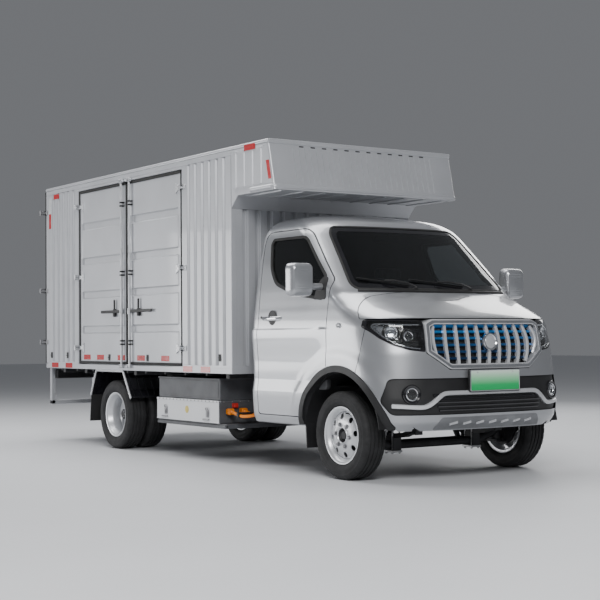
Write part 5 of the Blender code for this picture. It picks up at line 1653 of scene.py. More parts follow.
def rails():
    """Bright rails along the foot and head of the walls, with the floor's edge and cross bearers."""
    floor_shape = Shape().block((-BOX_X, BOX_X), (BOX_FRONT_Y, BOX_REAR_Y), (0.690, FLOOR_TOP_Z), 0.003)
    floor_shape.block((-0.800, 0.800), (BOX_FRONT_Y + WALL + 0.010, REAR_FRAME_Y - 0.010), (0.730, 0.741),
                      0.002)
    piece("floor_plate", floor_shape, BOX_PAINT, replaces="cargo_floor")
    under = Shape().pair((0.330, 0.390), (BOX_FRONT_Y + 0.03, 4.690), (0.5805, 0.6895))
    for y in (1.42, 2.95, 3.93, 4.40):
        under.block((-0.835, 0.835), (y - 0.025, y + 0.025), (0.652, 0.6895), 0.003)
    for y in np.arange(1.75, 4.7, 0.34):
        under.pair((0.395, 0.830), (y - 0.012, y + 0.012), (0.668, 0.6895), 0.002)
    piece("floor_bearers", under, CHASSIS)
    bolts = Shape()
    for y in (1.46, 2.05, 2.75, 3.40, 3.97, 4.44):
        for way in WAYS:
            bolts.tube([(way * 0.397, y, 0.480), (way * 0.397, y, 0.672)], 0.006, 8)
            bolts.nut((way * 0.397, y, 0.480), (0, 0, -1), 0.010, 0.010)
    piece("body_mounts", bolts, BARE_STEEL)
    foot = Shape()
    front = BOX_FRONT_Y - 0.001
    for way, stretch in ((1, (front, REAR_FRAME_Y)), (-1, (front, SIDE_DOOR_Y[0] - 0.004)),
                         (-1, (SIDE_DOOR_Y[1] + 0.004, REAR_FRAME_Y))):
        foot.block((way * (BOX_X - 0.030), way * (BOX_X + 0.0025)), stretch,
                   (FLOOR_TOP_Z - 0.004, RAIL_Z[1]), 0.002)
    foot.pair((BOX_X - 0.012, BOX_X + 0.0025), (BOX_FRONT_Y - 0.0012, BOX_REAR_Y - 0.002),
              (RAIL_Z[0], FLOOR_TOP_Z - 0.001), 0.0025)
    foot.pair((BOX_X - 0.030, BOX_X + 0.0030), (front, REAR_FRAME_Y + 0.05), TOP_RAIL_Z)
    foot.block((-BOX_X, BOX_X), (BOX_FRONT_Y - 0.0025, BOX_FRONT_Y + 0.010), (RAIL_Z[0], RAIL_Z[1]), 0.002)
    piece("body_rails", foot, BOX_PAINT)


def roof():
    """Roof sheet with rolled edges and low joints across it."""
    half = BOX_X + 0.004
    outline = rounded(rectangle((-half, half), (ROOF_UNDER_Z, BOX_TOP_Z - 0.002)), 0.014, 6)
    top = Shape().prism("Y", outline, PEAK_TOP_Y - 0.008, BOX_REAR_Y - 0.0005, 0.003)
    for y in np.arange(1.30, 4.7, 0.575):
        section = rounded_path([(-0.018, BOX_TOP_Z - 0.004), (-0.012, BOX_TOP_Z), (0.012, BOX_TOP_Z),
                                (0.018, BOX_TOP_Z - 0.004)], 0.004)
        top.prism("X", [(y + a, z) for a, z in section], -half + 0.020, half - 0.020)
    piece("roof_sheet", top, BOX_PAINT, replaces="cargo_roof")
    rivets = Shape()
    for y in np.arange(0.86, 4.74, 0.14):
        for way in WAYS:
            rivets.dome((way * (BOX_X + 0.0035), y, 2.364), 0.0045, (way, 0, 0), 0.0022, 8, 2)
    piece("roof_rivets", rivets, BOX_PAINT)


PEAK_GROOVES = 13
PEAK_MARGIN = 0.185
PEAK_SPACING = (BOX_X - PEAK_MARGIN) / PEAK_GROOVES


def peak_ring(z):
    """The peak's outline at a height: grooved sides, rounded corners and a finely grooved face."""
    front = PEAK_FOOT_Y + PEAK_LEAN * (z - PEAK_FLOOR_Z)
    back = PEAK_BACK_Y
    bare = min(1.0, max(0.0, (z - PEAK_FLOOR_Z - 0.052) / 0.010), max(0.0, (2.362 - z) / 0.010))
    side = [(BOX_X, back)]
    for k in range(4):
        y = back - 0.075 - 0.118 * k
        depth = 0.011 * bare
        side += [(BOX_X, y + 0.011), (BOX_X - depth, y + 0.004), (BOX_X - depth, y - 0.004),
                 (BOX_X, y - 0.011)]
    corner = 0.014
    side += [(BOX_X - corner + corner * cos(a), front + corner - corner * sin(a))
             for a in np.linspace(0, pi / 2, 6)]
    face = []
    half = BOX_X - PEAK_MARGIN
    for k in range(PEAK_GROOVES):
        x = half * (1 - (2 * k + 1) / PEAK_GROOVES)
        for dx in (PEAK_SPACING / 2, -PEAK_SPACING / 2):
            depth = 0.008 * bare
            face += [(x + dx + 0.0055, front), (x + dx + 0.002, front + depth),
                     (x + dx - 0.002, front + depth), (x + dx - 0.0055, front)]
    ring = side + face + [(-x, y) for x, y in reversed(side)]
    return [(x, y, z) for x, y in ring]


def peak():
    """Shell over the cab roof with a forward-leaning grooved face."""
    levels = [PEAK_FLOOR_Z, 2.085, 2.087, 2.096, 2.20, 2.352, 2.361, 2.363, 2.3825]
    shell = solid(Shape().rings([peak_ring(z) for z in levels]))
    back = PEAK_BACK_Y
    gusset = prism("X", ((back - PEAK_GUSSET, PEAK_FLOOR_Z + 0.002), (back - PEAK_GUSSET, PEAK_FLOOR_Z),
                         (back, PEAK_FLOOR_Z - PEAK_GUSSET), (back, PEAK_FLOOR_Z + 0.002)), -BOX_X + 0.0005,
                   BOX_X - 0.0005)
    fuse(shell, gusset)
    skin_depth, top = 0.030, 2.50
    deck = PEAK_FLOOR_Z + skin_depth
    inner = ((PEAK_FOOT_Y + 1.1 * skin_depth, deck), (back - PEAK_GUSSET, deck),
             (back + 0.1, deck - 0.1 - PEAK_GUSSET + 0.006), (back + 0.1, top),
             (PEAK_FOOT_Y + 1.1 * skin_depth + PEAK_LEAN * (top - PEAK_FLOOR_Z), top))
    carve(shell, prism("X", inner, -BOX_X + skin_depth, BOX_X - skin_depth))
    piece("peak_shell", shell, BOX_PAINT, replaces="cargo_peak", sharp=25)

    beads = Shape()
    low_y, low_z = PEAK_FOOT_Y + 0.016, PEAK_FLOOR_Z + 0.024
    beads.tube(rounded_path([(-BOX_X + 0.006, low_y + 0.30, low_z), (-BOX_X + 0.006, low_y, low_z),
                             (BOX_X - 0.006, low_y, low_z), (BOX_X - 0.006, low_y + 0.30, low_z)], 0.03),
               0.020, 16)
    top_y = PEAK_FOOT_Y + PEAK_LEAN * (2.385 - PEAK_FLOOR_Z) + 0.006
    beads.tube([(-BOX_X + 0.002, top_y, 2.388), (BOX_X - 0.002, top_y, 2.388)], 0.014, 14)
    piece("peak_beads", beads, BOX_PAINT)
    dashes = Shape()
    half = BOX_X - PEAK_MARGIN
    for k in range(PEAK_GROOVES - 1):
        x = half * (1 - (2 * k + 2) / PEAK_GROOVES)
        y = PEAK_FOOT_Y + PEAK_LEAN * (2.366 - PEAK_FLOOR_Z)
        dashes.block((x - 0.020, x + 0.020), (y - 0.0015, y + 0.008), (2.362, 2.372), 0.001)
    piece("peak_dashes", dashes, RUBBER)
    ribs = Shape()
    for x in np.linspace(-BOX_X + 0.10, BOX_X - 0.10, 9):
        ribs.block((x - 0.010, x + 0.010), (PEAK_FOOT_Y + 0.045, BOX_FRONT_Y - PEAK_GUSSET - 0.010),
                   (PEAK_FLOOR_Z - 0.006, PEAK_FLOOR_Z + 0.002), 0.002)
    piece("peak_under_ribs", ribs, BOX_PAINT)
    seam = Shape().pair((BOX_X - 0.004, BOX_X + 0.0008), (BOX_FRONT_Y - 0.0030, BOX_FRONT_Y - 0.0002),
                        (PEAK_FLOOR_Z - 0.085, 2.345), 0.0004)
    piece("peak_seam", seam, RUBBER)


def reflectors():
    """Plain red and white tape on rails, leaves, the rear posts and the peak."""
    red, white = Shape(), Shape()
    film = 0.0005
    for y in (1.72, 2.00, 4.25, 4.56):
        red.pair((BOX_X + 0.0015, BOX_X + 0.0037), (y - 0.075, y + 0.075), (0.696, 0.742), film)
    red.pair((BOX_X + 0.0015, BOX_X + 0.0055), (0.975, 1.125), (2.354, 2.400), film)
    red.pair((BOX_X - 0.0004, BOX_X + 0.0018), (4.470, 4.590), (2.296, 2.341), film)
    for z, look in ((2.165, white), (2.020, red)):
        look.pair((BOX_X - 0.0004, BOX_X + 0.0016), (4.656, 4.700), (z, z + 0.143), film)
    low, high = ((PEAK_FOOT_Y + PEAK_LEAN * (z - PEAK_FLOOR_Z), z) for z in (2.115, 2.255))
    strip = [(low[0] + 0.018, low[1]), (low[0] + 0.060, low[1]), (high[0] + 0.060, high[1]),
             (high[0] + 0.018, high[1])]
    for way in WAYS:
        red.prism("X", strip, *sorted((way * (BOX_X - 0.001), way * (BOX_X + 0.0012))))
    piece("reflectors_red", red, RED)
    piece("reflectors_white", white, WHITE)


def pressed_leaf(half_width, height, bands, margin, depth):
    """A door skin in its own plane: (across, out, up) points with pressed channels and rounded edges."""
    edge = 0.006
    ups = [0.0, edge * 0.4, edge, edge * 2]
    for low, high in bands:
        ups += [low, low + 0.003, low + 0.009, low + 0.012, high - 0.012, high - 0.009, high - 0.003, high]
    ups += [height - edge * 2, height - edge, height - edge * 0.4, height]
    acrosses = [-half_width, -half_width + edge * 0.4, -half_width + edge, -half_width + margin,
                -half_width + margin + 0.003, -half_width + margin + 0.009, -half_width + margin + 0.012]
    acrosses += [-a for a in reversed(acrosses)]

    def out(a, u):
        lip = 0.0
        for near, size in ((a + half_width, edge), (half_width - a, edge), (u, edge), (height - u, edge)):
            if near < size:
                lip = max(lip, size - (size * size - (size - near) ** 2) ** 0.5)
        sunk = 0.0
        for low, high in bands:
            inside = min(a + half_width - margin, half_width - margin - a, u - low, high - u)
            sunk = max(sunk, smoothstep(inside, 0, 0.012))
        return -lip * 0.8 - sunk * depth

    return [[(a, out(a, u), u) for a in acrosses] for u in ups]


def leaf_shape(place, half_width, height, thick, bands):
    """A closed door leaf from its pressed skin; `place` carries (across, out, up) into the drawing."""
    grid = pressed_leaf(half_width, height, bands, 0.045, 0.014)
    rows, columns = len(grid), len(grid[0])
    shape = Shape()
    front = [place(*point) for row in grid for point in row]
    back = [place(point[0], -thick, point[2]) for row in grid for point in row]
    faces = []
    size = rows * columns
    for i in range(rows - 1):
        for j in range(columns - 1):
            a, d = i * columns + j, (i + 1) * columns + j
            b, c = a + 1, d + 1
            faces += [(a, b, c, d), (size + d, size + c, size + b, size + a)]
    for i in range(rows - 1):
        for j, flip in ((0, False), (columns - 1, True)):
            a, b = i * columns + j, (i + 1) * columns + j
            face = (a, b, size + b, size + a)
            faces.append(face[::-1] if flip else face)
    for j in range(columns - 1):
        for i, flip in ((0, True), (rows - 1, False)):
            a, b = i * columns + j, i * columns + j + 1
            face = (a, b, size + b, size + a)
            faces.append(face[::-1] if flip else face)
    return shape.add(front + back, faces)


def seal_strips(across, up, width):
    """The four edge strips of a leaf, each as its reach across and up."""
    strips = [((edge, edge + inside * width), up) for edge, inside in ((across[0], 1), (across[1], -1))]
    return strips + [(across, (edge, edge + inside * width)) for edge, inside in ((up[0], 1), (up[1], -1))]


def bar_clamp(shape, at, out, across):
    """A bracket that holds a lock bar off a door's face."""
    height = 0.044
    at, out, across = Vector(at), Vector(out), Vector(across)
    up = Vector((0, 0, 1))
    for level in (-height / 2, height / 2 - 0.014):
        ring = [at + across * a + out * b for a, b in ((-0.026, 0.001), (-0.024, 0.004), (-0.015, 0.006),
                                                       (-0.015, 0.030), (-0.008, 0.0355), (0.008, 0.0355),
                                                       (0.015, 0.030), (0.015, 0.006), (0.024, 0.004),
                                                       (0.026, 0.001))]
        shape.rings([[point + up * level for point in ring],
                     [point + up * (level + 0.014) for point in ring]])
    for side in (-1, 1):
        shape.nut(at + across * 0.0185 * side + out * 0.003, out, 0.0035, 0.003, False)


def handle(shape, dark, at, out, across, reach):
    """A lock handle: hub on the bar, a long flat grip to one side and the upright latch that holds it."""
    at, out, across, up = Vector(at), Vector(out), Vector(across), Vector((0, 0, 1))
    stand = SIDE_BAR_X - FACE_X
    ring = [at + out * (stand + 0.017 * cos(a)) + across * 0.017 * sin(a) for a in around(16)]
    shape.rings([[point + up * level for point in ring] for level in (-0.026, 0.024)])
    grip = [at + out * stand + across * 0.012, at + out * (stand + 0.005) + across * 0.060,
            at + out * (stand + 0.005) + across * reach * 0.55, at + out * stand + across * reach]
    dark.sweep(grip, bevelled(0.013, 0.010, 0.005, 0.004), outs=[out] * 4)
    latch = at + across * reach * 0.38
    for half, near, far, low, high in ((0.016, 0.001, 0.024, -0.045, 0.022),
                                       (0.008, 0.008, 0.022, 0.015, 0.105)):
        dark.block(sorted((at.x + out.x * near, at.x + out.x * far)), (latch.y - half, latch.y + half),
                   (at.z + low, at.z + high), 0.004)


def strap(door, body, bolts, pin, face, away, out, z, length=0.095):
    """A butterfly strap hinge: `away` runs from the pin across the door, `face` is on the door's edge."""
    pin, face, away, out, up = Vector(pin), Vector(face), Vector(away), Vector(out), Vector((0, 0, 1))
    half = 0.0225

    def plate(shape, foot, way, reach, thick, wide):
        for a0, a1, w0, w1 in ((0.0, 0.45, 0.72, 0.60), (0.45, 1.0, 0.60, wide)):
            shape.rings([[foot + way * reach * a + out * o + up * u for o,
                          u in rectangle((-0.001, thick), (-half * w, half * w))] for a,
                         w in ((a0, w0), (a1, w1))])

    face, pin = face + up * z, pin + up * z
    plate(door, face, away, length, 0.006, 1.9)
    for a, u in ((0.30, 0.0), (0.64, 0.70), (0.64, -0.70), (0.88, 1.35), (0.88, 0.0), (0.88, -1.35)):
        bolts.dome(face + away * length * a + out * 0.006 + up * half * u, 0.0052, out, 0.004, 10, 3)
    for low, high, shape in ((-half, -half * 0.36, door), (-half * 0.30, half * 0.30, body),
                             (half * 0.36, half, door)):
        ring = [pin + (out * cos(a) + away * sin(a)) * 0.0088 for a in around(16)]
        shape.rings([[point + up * low for point in ring], [point + up * high for point in ring]])
    foot = face + away * 0.010 + out * 0.003
    for u in (-half * 0.68, half * 0.68):
        door.sweep([pin + up * u, foot + up * u], rectangle((-half * 0.30, half * 0.30), (-0.004, 0.004)),
                   outs=[out] * 2)
    return pin


def side_leaves():
    """The right-hand side's two pressed leaves with rubber edges, lock bars, handles and strap hinges."""
    low, high = SIDE_DOOR_Z
    height = high - low
    bands = [(z - BAND_HALF - low, z + BAND_HALF - low) for z in BAND_Z]
    pins = {"front": SIDE_DOOR_Y[0] - 0.012, "rear": SIDE_DOOR_Y[1] + 0.012}
    brackets, bracket_bolts = Shape(), Shape()
    for name, hinge_y, way in (("front", SIDE_DOOR_Y[0], 1), ("rear", SIDE_DOOR_Y[1], -1)):
        body = f"side_door_{name}"
        y0, y1 = sorted((hinge_y + way * SWING, MIDDLE_Y - way * 0.003))
        y = (y0 + y1) / 2
        leaf = leaf_shape(lambda a, o, u: (-FACE_X - o, y + a, low + u), (y1 - y0) / 2 - EDGE_RUBBER,
                          height - 2 * EDGE_RUBBER, LEAF - 0.004,
                          [(a - EDGE_RUBBER, b - EDGE_RUBBER) for a, b in bands])
        leaf = leaf.moved(Matrix.Translation((0, 0, EDGE_RUBBER)))
        piece(f"leaf_{name}", leaf, BOX_PAINT, body, f"side_door_{name}", sharp=30)
        rubber = Shape()
        for a, u in seal_strips((y0, y1), (low, high), EDGE_RUBBER + 0.002):
            rubber.block((-FACE_X - 0.006, -FACE_X + LEAF), a, u)
        piece(f"leaf_rubber_{name}", rubber, RUBBER, body)
        bar_y = MIDDLE_Y - way * 0.075
        bar = Shape().tube([(-SIDE_BAR_X, bar_y, low - 0.030), (-SIDE_BAR_X, bar_y, high + 0.026)], 0.0105,
                           16)
        for z in (low - 0.014, high + 0.010):
            for dy in (-0.021, 0.021):
                brackets.block((-BOX_X - 0.028, -BOX_X), (bar_y + dy - 0.004, bar_y + dy + 0.004),
                               (z - 0.016, z + 0.016), 0.002)
        clamps, grip = Shape(), Shape()
        for fraction in (0.12, 0.5, 0.88):
            bar_clamp(clamps, (-FACE_X, bar_y, low + height * fraction), (-1, 0, 0), (0, 1, 0))
        handle(bar, grip, (-FACE_X, bar_y, HANDLE_Z), (-1, 0, 0), (0, -way, 0), 0.40)
        piece(f"leaf_bar_{name}", bar, ZINC, body)
        piece(f"leaf_clamps_{name}", clamps.join(grip), BLACK, body)
        hinges, bolts = Shape(), Shape()
        for fraction in (0.09, 0.50, 0.91):
            z = low + height * fraction
            pin = strap(hinges, brackets, bolts, (-SIDE_PIN_X, pins[name], 0),
                        (-FACE_X - 0.001, hinge_y + way * 0.010, 0), (0, way, 0), (-1, 0, 0), z)
            reach = sorted((pin.y + way * 0.004, pin.y - way * 0.060))
            brackets.block((-BOX_X - 0.007, -BOX_X + 0.001), reach, (z - 0.0225, z + 0.0225), 0.002)
            brackets.block((-SIDE_PIN_X, -BOX_X - 0.004), (pin.y - way * 0.007, pin.y + way * 0.001),
                           (z - 0.0065, z + 0.0065), 0.001)
            for dy, dz in ((0.022, 0.010), (0.022, -0.010), (0.044, 0.010), (0.044, -0.010)):
                bracket_bolts.dome((-BOX_X - 0.007, pin.y - way * dy, z + dz), 0.005, (-1, 0, 0), 0.004, 10,
                                   3)
        piece(f"leaf_hinges_{name}", hinges, ZINC, body)
        piece(f"leaf_hinge_bolts_{name}", bolts, STEEL, body)
        tape = Shape()
        for dy in ((0.13, 0.55, 0.83) if name == "rear" else (0.25, 0.69)):
            at = MIDDLE_Y + (dy * (SIDE_DOOR_Y[1] - MIDDLE_Y) if name == "rear"
                             else -dy * (MIDDLE_Y - SIDE_DOOR_Y[0]))
            tape.block((-FACE_X - 0.0012, -FACE_X + 0.001), (at - 0.070, at + 0.070), (0.776, 0.822),
                       0.0005)
        piece(f"leaf_tape_{name}", tape, RED, body)
        hooks = Shape()
        hook(hooks, (-FACE_X, 2.70 if name == "front" else 3.42, 0.800), (-1, 0, 0), (0, 1, 0))
        piece(f"leaf_hook_{name}", hooks, BLACK, body)
        stops = Shape()
        for z in BAND_Z:
            stops.block((-FACE_X - 0.002, -FACE_X + 0.006),
                        (MIDDLE_Y - way * 0.004, MIDDLE_Y - way * 0.018), (z - BAND_HALF, z + BAND_HALF),
                        0.002)
        piece(f"leaf_stops_{name}", stops, RUBBER, body)
    hooks = Shape()
    for y in (1.50, 4.28, 4.64):
        hook(hooks, (-BOX_X, y, 0.812), (-1, 0, 0), (0, 1, 0))
    piece("side_hooks", hooks, BLACK)
    piece("side_hinge_brackets", brackets, ZINC)
    piece("side_bracket_bolts", bracket_bolts, STEEL)
    frame_rubber = Shape()
    frame_rubber.block((-FACE_X + 0.010, -BOX_X + 0.044), SIDE_DOOR_Y, (2.3180, 2.3224), 0.001)
    piece("side_doorway_rubber", frame_rubber, RUBBER)


def hook(shape, at, out, across):
    """A small plate with a ring, for a tarpaulin cord or a door stay."""
    at, out, across, up = Vector(at), Vector(out), Vector(across), Vector((0, 0, 1))
    ring = [at + out * 0.001 + across * a + up * u for a,
            u in rounded(rectangle((-0.018, 0.018), (-0.028, 0.028)), 0.006)]
    shape.rings([ring, [point + out * 0.003 for point in ring]])
    for level in (-0.016, 0.016):
        shape.dome(at + out * 0.004 + up * level, 0.006, out, 0.004, 10, 3)
    loop = [at + out * (0.006 + 0.010 * abs(sin(a))) + across * 0.009 * cos(a)
            for a in np.linspace(0, pi, 11)]
    shape.tube(loop, 0.0026, 8)


def rear_end():
    """Rear frame, two pressed doors with lock bars and hinges, rubber edges and reflector tape."""
    frame_shape = Shape()
    frame_shape.pair((0.793, BOX_X), (REAR_FRAME_Y, BOX_REAR_Y), WALL_Z, 0.004)
    frame_shape.block((-0.795, 0.795), (REAR_FRAME_Y, BOX_REAR_Y), (2.3225, WALL_Z[1]), 0.003)
    frame_shape.block((-0.795, 0.795), (REAR_FRAME_Y, BOX_REAR_Y), (WALL_Z[0], 0.755), 0.003)
    piece("rear_frame", frame_shape, BOX_PAINT, replaces="cargo_rear_frame")
    low, high = REAR_DOOR_Z
    face = BOX_REAR_Y + 0.036
    thick = 0.030
    brackets, bracket_bolts = Shape(), Shape()
    for side, way in SIDES:
        body = f"rear_door_{side}"
        x0, x1 = sorted(way * x for x in REAR_DOOR_X)
        middle = (x0 + x1) / 2
        bands = [(z - BAND_HALF - low - 0.010, z + BAND_HALF - low - 0.010) for z in BAND_Z]
        leaf = leaf_shape(lambda a, o, u: (middle + a, face + o, low + 0.010 + u), (x1 - x0) / 2 - 0.010,
                          high - low - 0.020, thick - 0.002, bands)
        piece(f"rear_leaf_{side}", leaf, BOX_PAINT, body, f"rear_door_{side}", sharp=30)
        rubber = Shape()
        for a, u in seal_strips((x0, x1), (low, high), 0.012):
            rubber.block(a, (face - thick, face - 0.003), u)
        piece(f"rear_rubber_{side}", rubber, RUBBER, body)
        bar_x = way * REAR_BAR_X
        bar = Shape().tube([(bar_x, face + 0.0155, low + 0.002), (bar_x, face + 0.0155, high - 0.002)],
                           0.0105, 16)
        for z in (low + 0.014, high - 0.014):
            bar.block((bar_x - 0.014, bar_x + 0.014), (face + 0.004, face + 0.026), (z - 0.010, z + 0.010),
                      0.003)
        clamps, grip = Shape(), Shape()
        for fraction in (0.06, 0.5, 0.94):
            z = low + (high - low) * fraction
            clamps.block((bar_x - 0.024, bar_x + 0.024), (face - 0.002, face + 0.006),
                         (z - 0.022, z + 0.022), 0.002)
            for jaw in ((z - 0.018, z - 0.006), (z + 0.006, z + 0.018)):
                clamps.block((bar_x - 0.014, bar_x + 0.014), (face + 0.002, face + 0.0265), jaw)
        z = HANDLE_Z - 0.010
        bar.block((bar_x - 0.018, bar_x + 0.018), (face + 0.002, face + 0.0265), (z - 0.026, z + 0.026),
                  0.004)
        grip.block((bar_x + way * 0.010, bar_x + way * 0.330), (face + 0.010, face + 0.022),
                   (z - 0.011, z + 0.011), 0.004)
        grip.block((bar_x + way * 0.225, bar_x + way * 0.265), (face - 0.001, face + 0.0255),
                   (z - 0.026, z + 0.016), 0.004)
        piece(f"rear_bar_{side}", bar, ZINC, body)
        piece(f"rear_clamps_{side}", clamps.join(grip), BLACK, body)
        hinges, bolts = Shape(), Shape()
        for fraction in (0.12, 0.42, 0.88):
            z = low + (high - low) * fraction
            strap(hinges, brackets, bolts, (way * REAR_PIN_X, face, 0), (way * 0.842, face + 0.0005, 0),
                  (-way, 0, 0), (0, 1, 0), z, 0.120)
            brackets.block((way * (BOX_X - 0.001), way * (BOX_X + 0.006)), (face - 0.075, face - 0.040),
                           (z - 0.0225, z + 0.0225), 0.002)
            brackets.sweep([(way * 0.8585, face - 0.045, z), (way * 0.875, face - 0.030, z),
                            (way * 0.897, face - 0.004, z)], rectangle((-0.0062, 0.0062), (-0.003, 0.003)),
                           outs=[(way, 0, 0)] * 3)
            for dz in (-0.011, 0.011):
                bracket_bolts.dome((way * (BOX_X + 0.006), face - 0.060, z + dz), 0.005, (way, 0, 0), 0.004,
                                   10, 3)
        piece(f"rear_hinges_{side}", hinges, BARE_STEEL, body)
        piece(f"rear_hinge_bolts_{side}", bolts, STEEL, body)
        tape, pale = Shape(), Shape()
        for k, at in enumerate(np.linspace(0.22, 0.74, 3)):
            for z in (0.80, 2.25):
                (tape if k % 2 == 0 else pale).block((way * (at - 0.075), way * (at + 0.075)),
                                                     (face - 0.001, face + 0.0012), (z, z + 0.046), 0.0005)
        piece(f"rear_tape_red_{side}", tape, RED, body)
        piece(f"rear_tape_white_{side}", pale, WHITE, body)
    piece("rear_hinge_brackets", brackets, BARE_STEEL)
    piece("rear_bracket_bolts", bracket_bolts, STEEL)


# ---- Inside the cab ----


def dashboard():
    """Moulded dashboard with a hood, instrument screen, vents and a centre stack."""
    outline = [(0.0857, 0.900), (0.0857, 1.150), (0.150, 1.205), (0.290, 1.190), (0.400, 1.100),
               (0.400, 0.980), (0.330, 0.900)]
    panel = Shape().prism("X", rounded(outline, 0.030, 6), -0.715, 0.715, 0.010)
    hood = rounded(((0.200, 1.185), (0.215, 1.235), (0.330, 1.225), (0.375, 1.120)), 0.02, 5)
    panel.prism("X", hood, 0.215, 0.525, 0.010)
    for way in WAYS:
        panel.prism("X", rounded(((0.300, 1.160), (0.380, 1.165), (0.408, 1.105), (0.398, 1.05)), 0.012),
                    way * 0.64 - 0.05, way * 0.64 + 0.05, 0.004)
    panel.prism("X", rounded(((0.300, 0.900), (0.395, 1.120), (0.420, 1.110), (0.415, 0.930),
                              (0.360, 0.900)), 0.015), -0.130, 0.130, 0.008)
    piece("dashboard_panel", panel, TRIM_GREY, replaces="dashboard")
    vents = Shape()
    for x in (-0.64, 0.64, -0.075, 0.075):
        for k in range(5):
            z = 1.060 + 0.013 * k
            vents.block((x - 0.040, x + 0.040), (0.396, 0.412 if abs(x) > 0.3 else 0.424), (z, z + 0.005),
                        0.001)
    for k in range(3):
        vents.lathe([(0.0, 0.0), (0.0, 0.017), (0.012, 0.015), (0.014, 0.0)],
                    (-0.06 + 0.06 * k, 0.419, 0.965), "Y", 24)
    piece("dashboard_vents", vents, GLOSS_BLACK)
    screens = Shape().block((0.255, 0.485), (0.352, 0.362), (1.135, 1.205), 0.004)
    screens.block((-0.105, 0.105), (0.412, 0.426), (1.000, 1.052), 0.004)
    piece("dashboard_screens", screens, GLOSS_BLACK)


def steering():
    """Padded rim with a shaped boss, three spokes and stalks."""
    middle = Vector((0.370, 0.480, 1.120))
    axis = Vector((0, -cos(radians(50)), -sin(radians(50))))
    tilt = Vector((0, 0, 1)).rotation_difference(axis).to_matrix()
    turn = Matrix.Translation(middle) @ tilt.to_4x4()
    radius = 0.185
    ring = [turn @ Vector((radius * cos(a), radius * sin(a), 0)) for a in around(64)]
    section = oval(0.0150, 0.0135, 16)
    wheel = Shape().sweep(ring, section, True, [-axis] * 64)
    for angle in (0, 90, 180):
        a = radians(angle)
        line = [turn @ Vector((r * cos(a), r * sin(a), d)) for r,
                d in ((0.045, 0.012), (0.100, 0.010), (0.176, 0.0))]
        wheel.sweep(line, bevelled(0.018, 0.015, 0.004, 0.004), outs=[-axis] * 3)
    wheel.join(turned([(0.035, 0.0), (0.030, 0.055), (0.000, 0.068), (-0.012, 0.062), (-0.020, 0.040),
                       (-0.023, 0.0)], turn, 40))
    wheel.join(turned([(0.01, 0.0), (0.01, 0.034), (0.155, 0.034), (0.155, 0.0)], turn, 24))
    for way in WAYS:
        wheel.tube([turn @ Vector((way * 0.030, 0, 0.060)), turn @ Vector((way * 0.115, 0.010, 0.050)),
                    turn @ Vector((way * 0.150, 0.012, 0.048))], 0.007, 10)
    piece("steering_wheel_rim", wheel, BLACK, replaces="steering_wheel")


SEATS = (("driver", 0.125, 0.635), ("passenger", -0.635, 0.075))
SEAT_BASE = ((0.560, 0.800), (0.552, 0.905), (0.600, 0.938), (0.880, 0.925), (0.905, 0.850), (0.890, 0.800))
SEAT_BACK = ((0.895, 0.925), (0.915, 0.905), (0.985, 0.905), (1.020, 1.380), (0.985, 1.405), (0.945, 1.390))
SEAT_HEAD = ((0.965, 1.415), (0.970, 1.490), (0.995, 1.502), (1.028, 1.480), (1.024, 1.415))
CHANNEL_DEPTH = 0.007
EDGE_PULL = 0.22


def cushion(name, outline, x0, x1, crown=0.010):
    """A stuffed pad: a closed form whose faces swell and whose edges pull in, with sewn channels."""
    points = spaced(rounded(outline, 0.045, 6), 0.020, True)
    mid_y = sum(p[0] for p in points) / len(points)
    mid_z = sum(p[1] for p in points) / len(points)
    rings = []
    count = 26
    for i in range(count + 1):
        t = i / count
        x = x0 + (x1 - x0) * t
        end = abs(2 * t - 1)
        pull = 1 - EDGE_PULL * max(0.0, (end - 0.86) / 0.14) ** 2
        swell = crown * (1 - end ** 2)
        channel = 0.0
        for at in (0.24, 0.76):
            channel += CHANNEL_DEPTH * max(0.0, 1 - abs(t - at) / 0.016)
        ring = []
        for y, z in points:
            d = Vector((y - mid_y, z - mid_z))
            size = d.length
            d = d.normalized() * (size * pull + swell - channel)
            ring.append((x, mid_y + d.x, mid_z + d.y))
        rings.append(ring)
    return solid(Shape().rings(rings), name)


def seats():
    """Two cloth seats on plinths: base, back and head pads stuffed and sewn."""
    for name, x0, x1 in SEATS:
        for part, outline in (("base", SEAT_BASE), ("back", SEAT_BACK)):
            pad = cushion(f"seat_{part}_{name}", outline, x0, x1)
            stuff(pad)
            pad = piece(f"seat_{part}_{name}", pad, SEAT, replaces="seats", sharp=70)
        spots = [(x0 + x1) / 2] if name == "driver" else [x0 + 0.19, x1 - 0.19]
        for k, x in enumerate(spots):
            head = cushion(f"seat_head_{name}_{k}", SEAT_HEAD, x - 0.115, x + 0.115, crown=0.004)
            head = piece(f"seat_head_{name}_{k}", head, SEAT, sharp=70)
        posts = Shape()
        for x in spots:
            for dx in (-0.045, 0.045):
                posts.tube([(x + dx, 0.985, 1.395), (x + dx, 0.998, 1.430)], 0.006, 10)
        piece(f"seat_posts_{name}", posts, CHROME)
        frame_shape = Shape().block((x0 + 0.02, x1 - 0.02), (0.620, 0.940), (0.6205, 0.800), 0.012)
        frame_shape.block((x0 + 0.01, x1 - 0.01), (0.580, 0.960), (0.788, 0.804), 0.006)
        frame_shape.prism("X", ((0.985, 0.800), (1.000, 0.800), (1.035, 1.380), (1.020, 1.392)), x0 + 0.02,
                          x1 - 0.02, 0.004)
        piece(f"seat_frame_{name}", frame_shape, TRIM_GREY)


FRAMES = 16
MOST_SWELL = 0.007


